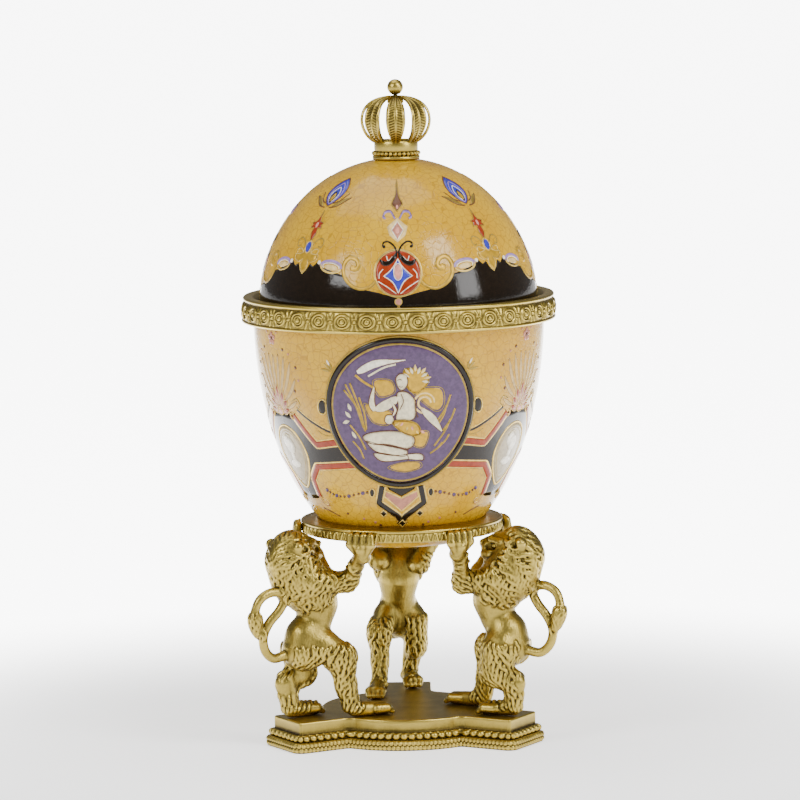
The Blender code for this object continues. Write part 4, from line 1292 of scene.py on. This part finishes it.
    def small_motif(self, one, pair):
        """A red spear over a blue oval in a gold fleur, with links of a chain on both sides."""
        tall = eased([243.6j, 0.5 + 240.6j, 1.2 + 239.0j], 4)
        low = eased([1.1 + 236.2j, 1.6 + 233.6j, 0.7 + 231.4j, 230.4j], 4)
        half = np.concatenate([tall, [3.6 + 238.2j, 2.6 + 237.4j, 3.4 + 236.0j], low])
        one.outlined("red", "old_gold", mirrored(half), 0.16, 0.4, centre=237.2j)
        one.fill("pink", oval(237.4j, 0.8, 1.2, count=12), 0.26)
        fleur = np.concatenate([
            eased([216.4j, 1.9 + 218.6j, 2.2 + 220.8j, 1.4 + 222.6j], 4),
            eased([4.0 + 221.4j, 6.6 + 222.6j, 6.9 + 224.8j, 4.4 + 225.0j,
                   2.2 + 226.0j, 1.9 + 229.4j, 230.8j], 4)])
        one.outlined("amber", "gold", mirrored(fleur), 0.14, 0.5, rings=3, centre=223.6j)
        one.outlined("blue", "gold", oval(227.9j, 1.8, 2.5, count=24), 0.34, 0.6)
        curl = eased([2.0 + 228.6j, 4.0 + 231.0j, 6.4 + 231.8j, 8.0 + 230.0j, 7.2 + 228.0j, 5.6 + 228.4j])
        pair.stroke("old_gold", curl, 0.6, 0.18)
        curl = eased([2.0 + 225.6j, 4.4 + 227.2j, 6.4 + 226.8j, 6.2 + 225.2j])
        pair.stroke("gold", curl, 0.6, 0.24)
        pair.dots("white", [8.8 + 221.6j], 0.85, 0.45)
        link = oval(15.4 + 219.9j, 5.4, 2.5, -8, 40)
        pair.stroke("lilac", link[:22], 1.2, 0.24)
        pair.stroke("gold", link[19:], 0.9, 0.26)
        pair.stroke("white", oval(15.4 + 219.9j, 4.3, 1.6, -8, 32)[:20], 0.4, 0.22)
        pair.fill("glow", oval(15.4 + 219.7j, 3.4, 1.2, -8, 24), 0.1)

    def feather(self, one, pair):
        """A blue leaf that points to the crown, with an eye and dark side feathers."""
        outer = leaf(251.2j, 11.4, 9.6, 90, 0.8, 17)
        one.outlined("blue", "brown", outer, 0.14, 0.5, rings=3)
        one.stroke("lilac", leaf(250.6j, 8.6, 6.6, 90, 0.8, 15), 0.5, 0.24, closed=True)
        one.stroke("white", leaf(250.0j, 6.4, 4.6, 90, 0.8, 13), 0.35, 0.26, closed=True)
        one.outlined("amber", "black", leaf(249.0j, 4.4, 2.6, 90, 0.8, 11), 0.28, 0.5)
        pair.fill("old_gold", leaf(6.6 + 247.2j, 9.2, 2.0, 28, 0.9), 0.14)
        pair.stroke("brown", eased([1.4 + 244.8j, 5.6 + 245.6j, 10.4 + 249.2j]), 0.5, 0.2)
        pair.stroke("brown", eased([2.6 + 246.6j, 5.4 + 247.8j, 7.8 + 250.8j]), 0.5, 0.2)


class EGGBOX_OT_bowl_paint(bpy.types.Operator):
    """Enamel on the bowl: the dark belt with its red borders, cameos, palmettes, swags and brackets."""

    bl_idname = "eggbox.bowl_paint"
    bl_label = "Bowl paint"

    def execute(self, context):
        front = Paint(BOWL_SKIN, PANELS)
        wings = Paint(BOWL_SKIN, PANELS, mirrored=True)
        cameo = Paint(BOWL_SKIN, CAMEOS)
        sides = Paint(BOWL_SKIN, CAMEOS, mirrored=True)
        self.belt(sides)
        self.cameo(cameo)
        self.palmette(cameo, sides)
        self.studs(wings)
        self.bracket(front, wings)
        self.swag(wings)
        lay_paint("bowl_paint", [front, wings, cameo, sides])
        return {"FINISHED"}

    def belt(self, pair):
        """The dark belt from a medallion to a cameo, with its red borders that bend round the cameo."""
        reach = np.linspace(38.5, -0.4, 64)
        top = np.interp(reach, [0, 9.6, 19.9, 29.1, 39], [154.2, 152.8, 139.8, 141.3, 142.3])
        low = np.interp(
            reach, [0, 5, 7.6, 9.3, 15.4, 32.4, 39.5], [113, 113.4, 114.6, 123.4, 129.3, 131, 131.5])
        across = np.linspace(0, 1, 14)[:, None]
        flat = reach[None, :] + 1j * (low + (top - low) * across)
        self.slab(pair, "black", flat, 0.07)
        upper = dense([38.5 + 142.3j, 29.1 + 141.3j, 19.9 + 139.8j, 9.6 + 152.8j])
        lower = dense([39.5 + 131.5j, 32.4 + 131.0j, 15.4 + 129.3j, 9.3 + 123.4j, 7.6 + 114.6j])
        curl_up = eased([9.9 + 152.6j, 8.2 + 153.6j, 7.4 + 152.0j, 8.6 + 150.9j, 9.8 + 151.6j])
        curl_low = eased([7.6 + 115.0j, 8.0 + 111.8j, 10.2 + 110.8j, 11.4 + 112.4j, 10.2 + 113.4j])
        for path, curl in ((upper, curl_up), (lower, curl_low)):
            pair.stroke("gold", path, 4.7, 0.12)
            pair.stroke("red", path, 3.2, 0.24)
            pair.stroke("gold", curl, 1.1, 0.3)
            pair.stroke("red", curl, 0.5, 0.36)
        crescent = [31.5 + 146.0j, 27.3 + 147.0j, 19.6 + 151.0j, 13.0 + 155.4j]
        pair.stroke("black", eased(crescent), 1.2, 0.16)
        pair.stroke("gold", eased(np.array(crescent) + 1.0j), 0.5, 0.18)
        pair.stroke("old_gold", eased([30.6 + 144.4j, 26.4 + 144.6j, 23.0 + 146.4j]), 0.5, 0.16)
        pair.stroke("brown", eased([5.0 + 109.0j, 8.9 + 107.7j, 13.0 + 105.6j]), 0.7, 0.16)

    def slab(self, paint, colour, flat, lift):
        """A grid of flat points as a closed slab: over the top, back below, and shut at both ends."""
        over = np.concatenate([flat, flat[::-1]]).T
        rise = np.concatenate([np.full(flat.shape, lift), np.full(flat.shape, -0.15)]).T
        ends = [over[:1] * 0 + over[k].mean() for k in (0, -1)]
        level = np.zeros(over[:1].shape)
        paint.lay(colour, np.concatenate([ends[0], over, ends[1]]), np.concatenate([level, rise, level]))

    def cameo(self, one):
        """A shield-shaped cameo, grey-olive with a plain white relief head in profile."""
        turn = np.linspace(0, TURN, 56, endpoint=False)
        drop = np.clip(-np.sin(turn), 0, 1)
        rise = np.where(np.sin(turn) > 0, 12.6, 16.2) * np.sin(turn)
        shape = 11.4 * np.cos(turn) * (1 - 0.42 * drop**1.6) + 1j * rise
        middle = 134.6j
        one.outlined("olive", "gold", middle + shape, 0.2, 1.1, rings=5, centre=middle)
        one.stroke("old_gold", middle + 0.8 * shape, 0.5, 0.26, closed=True)
        one.fill("white", oval(0.6 + 138.0j, 3.3, 3.8, count=28), 0.7, rings=4)
        one.fill("white", oval(-1.6 + 139.6j, 3.0, 3.2, 20, 24), 0.55, rings=4)
        one.fill("white", leaf(0.2 + 133.2j, 5.6, 3.0, 84, 0.7), 0.5, rings=3)
        one.fill("white", leaf(-0.2 + 129.6j, 8.4, 4.2, 0, 0.6), 0.45, rings=3)
        one.stroke("cream", eased([-4.2 + 141.4j, -1.2 + 143.2j, 2.0 + 142.4j]), 0.8, 0.6)

    def palmette(self, one, pair):
        """A fan of pale fronds with red hearts over the cameo, small flowers, and dots round it."""
        root = 153.0j
        for lean, length in ((0, 26.5), (9, 27.2), (18.5, 27.6), (28.5, 27.2), (43, 22.5), (66, 15.4)):
            aim = heading(90 - lean)
            target = pair if lean else one
            bow = -1j * aim * 0.05 * length * math.sin(math.radians(2 * lean))
            path = eased([root + 0.3 * length * aim, root + 0.65 * length * aim + bow, root + length * aim])
            full = np.clip(np.sin(math.pi * np.linspace(0, 1, len(path)) ** 1.3), 0, 1)
            target.stroke("umber", path, 0.9 + 1.5 * full, 0.06)
            target.stroke("sand", path, 0.35 + 1.35 * full, 0.12)
            target.stroke("umber", path, 0.25, 0.16)
        for lean, length in ((0, 13.5), (24, 11.5), (48, 9.5), (74, 8.0)):
            aim = heading(90 - lean)
            target = pair if lean else one
            heart = leaf(root + 0.58 * length * aim, length * 0.84, 3.4, 90 - lean)
            target.outlined("rose", "sand", heart, 0.18, 0.5)
            target.fill("red", leaf(root + 0.74 * length * aim, length * 0.45, 1.5, 90 - lean), 0.3)
        one.outlined("pink", "gold", oval(root + 0.6j, 2.2, 1.6, count=18), 0.3, 0.5)
        flower = 186.8j
        for petal in range(5):
            place = flower + 1.9 * heading(90 + 72 * petal)
            one.fill("rose", oval(place, 1.25, 1.25, count=12), 0.16)
        one.dots("brown", [flower], 0.8, 0.3)
        pair.dots("brown", [8.4 + 182.2j, 16.5 + 174.7j, 13.9 + 163.9j], 0.75, 0.22)
        pair.dots("rose", [4.2 + 189.6j, 12.4 + 180.6j, 17.4 + 169.0j], 0.6, 0.2)
        sprig = eased([10.5 + 159.0j, 14.0 + 160.4j, 15.6 + 157.8j, 14.0 + 156.2j])
        pair.stroke("old_gold", sprig, 0.6, 0.16)

    def studs(self, pair):
        """Dark half-hidden studs and leaf tips beside each medallion."""
        pair.outlined("black", "gold", oval(36.4 + 157.8j, 2.4, 3.4, count=24), 0.5, 0.8, rings=3)
        root = 31.0 + 174.0j
        for lean, length in ((10, 5.5), (42, 5.0), (74, 4.0)):
            pair.fill("old_gold", leaf(root + 0.6 * length * heading(lean), length, 1.3, lean), 0.16)
        pair.fill("white", leaf(33.0 + 178.0j, 3.0, 0.8, 60), 0.3)

    def bracket(self, one, pair):
        """The dark bracket below each medallion, round a rose shield, with studs and small diamonds."""
        side = dense([8.6 + 121.6j, 10.1 + 113.4j, 2.0 + 107.2j, -1.2 + 102.6j])
        pair.stroke("gold", side, 4.0, 0.14)
        pair.stroke("black", side, 2.8, 0.24)
        shield = dense([
            -7.2 + 119.4j, 115.8j, 7.2 + 119.4j, 7.6 + 116.6j, 109.4j, -7.6 + 116.6j, -7.2 + 119.4j])
        one.outlined("rose", "gold", shield[:-1], 0.3, 0.8, rings=3, centre=114.0j)
        cap = dense([-7.4 + 122.6j, 7.4 + 122.6j, 5.4 + 119.8j, 116.6j, -5.4 + 119.8j, -7.4 + 122.6j])
        one.fill("black", cap[:-1], 0.34, rings=3, centre=120.4j)
        pair.outlined("black", "gold", oval(13.2 + 118.4j, 1.2, 2.0, count=20), 0.4, 0.6)
        diamond = dense([1.7j, 1.6, -1.7j, -1.6, 1.7j], 0.8)[:-1]
        pair.outlined("black", "gold", 8.1 + 108.2j + diamond, 0.3, 0.6)
        one.outlined("black", "gold", 0.2 + 103.4j + diamond, 0.42, 0.5)

    def swag(self, pair):
        """Dotted swags between the bracket and the belt's scroll, and small dots above the ring."""
        path = eased([
            15.6 + 118.4j, 19.7 + 117.6j, 24.5 + 116.2j, 29.1 + 115.8j, 33.0 + 116.6j, 36.5 + 118.4j], 4)
        for k, centre in enumerate(path[::2]):
            big = k % 3 == 1
            pair.dots("purple" if big else "brown", [centre], 0.95 if big else 0.6, 0.28)
        pair.dots("rose", [12.0 + 103.6j, 17.4 + 105.2j], 0.6, 0.2)
        pair.dots("brown", [9.6 + 102.4j, 25.6 + 107.4j], 0.6, 0.2)


class EGGBOX_OT_medallions(bpy.types.Operator):
    """The two round medallions: a dark roll, gold lines and a purple field with a seated figure."""

    bl_idname = "eggbox.medallions"
    bl_label = "Medallions"

    # Cloths, hair, legs, body and head, each as a colour, a lift and an outline
    FORMS = (
        ("amber", 0.40, ((4.4, 10.4), (12.0, 11.2), (17.6, 10.0), (18.4, 3.0), (15.0, 0.6), (9.0, 5.0))),
        ("amber", 0.40, ((-10.8, 14.2), (-4.0, 14.6), (-1.8, 11.0), (-3.0, 8.4), (-8.6, 7.4))),
        ("amber", 0.40, ((-15.0, 4.6), (-9.0, 2.0), (-3.0, 0.8), (-4.8, -4.6), (-10.6, -4.2), (-13.4, -1.0))),
        ("amber", 0.40, ((5.8, -8.4), (12.2, -8.0), (10.6, -14.6), (5.6, -13.8))),
        ("amber", 0.40, ((-6.4, -23.6), (0.6, -21.2), (8.6, -21.2), (9.4, -23.8), (1.6, -25.6))),
        ("amber", 0.56, ((1.6, 18.4), (6.6, 19.0), (11.4, 16.4), (11.0, 12.0), (6.4, 8.6), (2.8, 11.4))),
        ("cream", 0.50, ((-12.0, -17.0), (-3.6, -18.0), (8.6, -17.4), (10.4, -20.4), (3.4, -19.8),
                         (-7.2, -20.8), (-11.2, -19.4))),
        ("cream", 0.58, ((-15.2, -11.8), (-9.8, -13.0), (-1.0, -14.8), (3.0, -16.2), (1.6, -18.4),
                         (-6.2, -17.4), (-12.0, -16.0))),
        ("cream", 0.68, ((-16.4, -9.6), (-11.6, -7.8), (-3.8, -7.2), (2.2, -8.2), (6.2, -10.8),
                         (5.0, -14.4), (0.8, -15.0), (-6.0, -13.2), (-12.0, -13.0), (-15.6, -11.8))),
        ("cream", 0.62, ((-1.2, 8.8), (2.6, 9.4), (6.0, 6.0), (6.6, 1.2), (5.2, -2.6), (-1.6, -2.6),
                         (-0.8, 3.0))),
        ("cream", 0.62, ((-3.4, -0.4), (-2.6, -3.2), (-4.8, -4.6), (-6.6, -3.0), (-5.8, -0.6))),
        ("amber", 0.80, ((-3.4, -3.4), (2.0, -2.6), (7.4, -4.6), (8.6, -8.6), (4.6, -9.4), (0.0, -7.4))),
        ("cream", 0.78, ((-1.6, 15.0), (0.4, 17.2), (3.0, 15.8), (3.0, 12.2), (1.0, 10.0), (-0.8, 11.4))),
    )

    def execute(self, context):
        paint = Paint(PLAQUE_SKIN, PANELS)
        self.frame(paint)
        self.figure(paint)
        self.reeds(paint)
        lay_paint("medallion", [paint])
        return {"FINISHED"}

    def frame(self, paint):
        """The purple field, the dark roll, and a gold line inside and outside it."""
        paint.fill("purple", oval(0, 30.4, 30.4, count=120), 0.3, rings=12)
        paint.stroke("old_gold", oval(0, 32.6, 32.6, count=120), 1.0, 0.7, closed=True)
        self.roll(paint, "black", 31.3, 1.15, 0.1)
        paint.stroke("old_gold", oval(0, 29.5, 29.5, count=120), 1.0, 0.45, closed=True)

    def roll(self, paint, colour, reach, thick, sink):
        """A round-sectioned ring laid on the bowl."""
        turn = np.linspace(0, TURN, 120, endpoint=False)[:, None]
        section = np.linspace(0, TURN, 14, endpoint=False)[None, :]
        flat = (reach + thick * np.cos(section)) * np.exp(1j * turn)
        flat = np.concatenate([flat, flat[:1]])
        paint.lay(colour, flat, np.broadcast_to(thick * np.sin(section) - sink, flat.shape))

    def limb(self, paint, colour, points, widths, lift=0.55):
        """A limb as a stroke whose width runs through a list, round at its ends."""
        path = eased(flat_points(points))
        t = np.linspace(0, 1, len(path))
        width = np.interp(t, np.linspace(0, 1, len(widths)), widths)
        width = width * np.sin(math.pi * np.clip(t, 0.02, 0.98)) ** 0.25
        paint.stroke("brown", path, width + 0.55, lift - 0.1)
        paint.stroke(colour, path, width, lift)

    def figure(self, paint):
        """A calm seated figure of plain rounded forms, draped in amber, with a fan in its raised hand."""
        for colour, lift, points in self.FORMS:
            outline = rounded(flat_points(points))
            edge = "old_gold" if colour == "amber" else "brown"
            paint.outlined(colour, edge, outline, lift, 0.4, rings=3)
        limbs = (([(-0.6, 7.0), (-6.4, 3.4), (-10.4, 1.8)], [4.6, 4.6, 3.6], 0.72),
                 ([(-10.6, 1.4), (-11.6, 5.0), (-10.4, 11.4)], [3.4, 2.8, 1.8], 0.76),
                 ([(9.0, 1.8), (13.6, -2.6), (18.0, -8.0)], [3.4, 3.8, 2.0], 0.66),
                 ([(-4.0, 6.0), (-2.0, 2.0), (-3.0, -0.6)], [1.4, 1.6, 1.2], 0.82))
        for points, widths, lift in limbs:
            self.limb(paint, "cream", points, widths, lift)
        for reach in (4.2, 2.6):
            paint.stroke("glow", oval(10.0 + 4.4j, reach, reach, count=28)[:22], 1.1, 0.9 - 0.1 * reach)
        for k in range(9):
            aim = -10 + 20 * k
            root = 6.2 + 14.2j + (4.2 + 0.8 * (k % 2)) * heading(aim)
            paint.fill("glow" if k % 2 else "cream", leaf(root, 3.4, 1.2, aim), 0.85)
        for k in range(6):
            root = complex(-1.6 + 2.2 * k, -4.4 - 0.9 * k + 1.0 * (k % 2))
            paint.fill("pink" if k % 2 else "gold", leaf(root, 2.6, 1.2, 30 + 24 * k), 1.0)
        self.limb(paint, "white", [(-17.0, 17.6), (-9.0, 21.4), (2.4, 22.8)], [4.0, 3.4, 0.9], 0.6)
        paint.stroke("cream", eased([-12.6 + 16.0j, -6.4 + 19.6j, -1.4 + 21.0j]), 0.9, 0.6)
        paint.stroke("amber", eased([-18.0 + 16.4j, -14.6 + 13.6j, -10.6 + 11.2j]), 1.1, 0.7)
        creases = (((-12.0, -13.0), (-4.0, -13.4), (3.6, -15.6)), ((0.4, 8.6), (1.4, 5.4), (-0.2, 1.8)),
                   ((6.4, 6.0), (6.2, 2.0), (7.4, -1.6)), ((-0.4, 11.9), (0.4, 11.5), (1.2, 11.7)),
                   ((-0.9, 14.4), (0.0, 14.8), (0.8, 14.4)), ((3.0, -18.0), (3.6, -19.4), (3.2, -20.4)))
        for crease in creases:
            paint.stroke("brown", eased(flat_points(crease)), 0.38, 0.98)

    def reeds(self, paint):
        """Gold reeds and pale blossoms on both sides of the figure."""
        stems = ((-22.6, 12.4, -16.0, -6.0), (-20.6, 13.0, -15.4, -7.6), (-23.4, 10.0, -16.6, -1.0),
                 (-17.0, 7.0, -14.8, -6.8), (-22.0, -5.0, -16.0, -15.6), (-21.6, -12.0, -17.4, -19.6),
                 (21.0, 7.4, 15.8, -3.4), (19.4, 3.0, 15.4, -6.0), (23.4, 1.4, 18.4, -8.0),
                 (21.6, -3.0, 15.0, -14.4), (18.6, -13.0, 13.4, -17.6), (21.6, -9.6, 16.0, -16.0))
        for x0, y0, x1, y1 in stems:
            path = eased([complex(x0, y0), complex((x0 + x1) / 2 + 0.8, (y0 + y1) / 2), complex(x1, y1)])
            paint.stroke("old_gold", path, 1.1, 0.42)
            paint.stroke("amber", path + 0.3, 0.4, 0.5)
        petals = ((-22.4 - 0.6j, 130), (-23.6 - 3.8j, 200), (-21.4 + 2.6j, 110), (-20.6 - 9.4j, 120))
        for centre, tilt in petals:
            paint.fill("cream", leaf(centre, 3.6, 1.5, tilt), 0.55)


class EGGBOX_OT_crown(bpy.types.Operator):
    """The crown finial: a moulded foot with beads, eight bowed arches and a ball."""

    bl_idname = "eggbox.crown"
    bl_label = "Crown"

    def execute(self, context):
        base = CROWN_BASE
        seat = LID_SPRING + 0.3 + LID_HEIGHT * np.sin(np.arccos(np.array([0.0, 5.0, 10.7]) / LID_RADIUS))
        grids = [as_grid(turned_points(
            [0, 5.0, 10.6, 10.7, 10.3, 9.7, 9.7, 9.9, 9.9, 9.6, 8.6, 8.1, 8.1, 0],
            [*seat, base + 0.3, base + 0.7, base + 1.0, base + 2.9, base + 3.3, base + 7.2, base + 7.8,
             base + 7.8, base + 7.4, base + 6.0, base + 5.8], 96))]
        grids.append(self.balls(31, 10.1, base + 1.9, 1.0))
        grids.append(self.balls(50, 10.2, base + 0.5, 0.42))
        grids += [self.arch(math.radians(270 + 45 * k)) for k in range(8)]
        grids.append(self.hub())
        brass_cast("crown", joined_grids(grids), -0.15, "crown_finial")
        return {"FINISHED"}

    def balls(self, count, reach, z, radius):
        """Small balls in a ring, each with its poles closed."""
        climb = np.linspace(0, math.pi, 8)[:, None, None]
        turn = np.linspace(0, TURN, 10, endpoint=False)[None, :, None]
        place = np.linspace(0, TURN, count, endpoint=False)[None, None, :]
        x = reach * np.cos(place) + radius * np.sin(climb) * np.cos(turn)
        y = reach * np.sin(place) + radius * np.sin(climb) * np.sin(turn)
        points = np.stack(np.broadcast_arrays(x, y, z + radius * np.cos(climb)), axis=-1)
        return joined_grids([as_grid(points[:, :, k]) for k in range(count)])

    def arch(self, azimuth):
        """A strip swept up a bowed path. Its face has two raised edges, a centre rib and slanted cuts."""
        foot = complex(9.0, CROWN_BASE + 6.9)
        low, high = foot + complex(8.2, 3.6), foot + complex(10.6, 19.7)
        head = complex(2.0, CROWN_BASE + 27.2)
        t = np.linspace(0, 1, 72)[:, None]
        s = 1 - t
        path = foot * s**3 + low * 3 * s * s * t + high * 3 * s * t * t + head * t**3
        run = (low - foot) * s * s + (high - low) * 2 * s * t + (head - high) * t * t
        out = -1j * run / abs(run)
        half = 0.5 * (3.0 * s + 1.4 * t + 6.6 * np.clip(np.sin(math.pi * t), 0, 1) ** 1.2)
        u = np.linspace(-1, 1, 29)[None, :]
        along = np.cumsum(np.concatenate([[[0]], abs(np.diff(path, axis=0))]))[:, None]
        rims = np.exp(-((abs(u) - 0.84) / 0.13) ** 2)
        rib = np.exp(-(u / 0.16) ** 2)
        cuts = 0.5 + 0.5 * np.cos(TURN * (along / 1.25 + 1.1 * abs(u)))
        face = 0.55 * rims + 0.5 * rib + 0.32 * cuts * (1 - np.clip(rims + rib, 0, 1))
        face = face - 0.5 * np.clip((abs(u) - 0.92) / 0.08, 0, 1)
        front = path + out * (0.1 + face)
        back = path - out * (0.55 + 0.1 * (1 - u**2))
        section = np.concatenate([front, back[:, ::-1]], axis=1)
        side = np.concatenate([half * u, (half * u)[:, ::-1]], axis=1)
        reach, z = section.real, section.imag
        x = reach * math.cos(azimuth) - side * math.sin(azimuth)
        y = reach * math.sin(azimuth) + side * math.cos(azimuth)
        points = np.stack([x, y, z], axis=-1)
        ends = [np.broadcast_to(points[k].mean(axis=0), points[:1].shape) for k in (0, -1)]
        return as_grid(np.concatenate([ends[0], points, ends[1]]))

    def hub(self):
        """The collar where the arches meet, a short neck and the ball."""
        ball = CROWN_TOP - 3.6
        turn = np.linspace(-0.42 * math.pi, 0.5 * math.pi, 22)
        radius = [0, 2.8, 3.6, 3.7, 3.0, 1.6, 1.3, *(3.6 * np.cos(turn[:-1])), 0]
        height = [ball - 8.4, ball - 8.0, ball - 7.0, ball - 6.2, ball - 5.2, ball - 4.6, ball - 3.9,
                  *(ball + 3.6 * np.sin(turn[:-1])), CROWN_TOP]
        return as_grid(turned_points(radius, height, 64))


class EGGBOX_PT_panel(bpy.types.Panel):
    """Lists the pieces and their settings."""

    bl_idname = "EGGBOX_PT_panel"
    bl_label = "Egg Box"
    bl_space_type = "VIEW_3D"
    bl_region_type = "UI"
    bl_category = "Egg Box"

    def draw(self, context):
        own = context.scene.egg_box
        for group in (own.brass, own.glaze, own.lion, own.stage):
            box = self.layout.box()
            for name in group.__annotations__:
                box.prop(group, name)
        for operator in OPERATORS:
            self.layout.operator(operator.bl_idname)


OPERATORS = (
    EGGBOX_OT_stage,
    EGGBOX_OT_plinth,
    EGGBOX_OT_lions,
    EGGBOX_OT_support_ring,
    EGGBOX_OT_rim_band,
    EGGBOX_OT_shells,
    EGGBOX_OT_lid_paint,
    EGGBOX_OT_bowl_paint,
    EGGBOX_OT_medallions,
    EGGBOX_OT_crown,
)
CLASSES = (
    BrassSettings, GlazeSettings, LionSettings, StageSettings, EggBoxSettings, *OPERATORS, EGGBOX_PT_panel)


def register():
    for cls in CLASSES:
        bpy.utils.register_class(cls)
    bpy.types.Scene.egg_box = PointerProperty(
        name="Egg Box", description="Settings of the egg box", type=EggBoxSettings)


def unregister():
    del bpy.types.Scene.egg_box
    for cls in reversed(CLASSES):
        bpy.utils.unregister_class(cls)


def main():
    register()
    for operator in OPERATORS:
        area, name = operator.bl_idname.split(".")
        getattr(getattr(bpy.ops, area), name)()


if __name__ == "__main__":
    main()
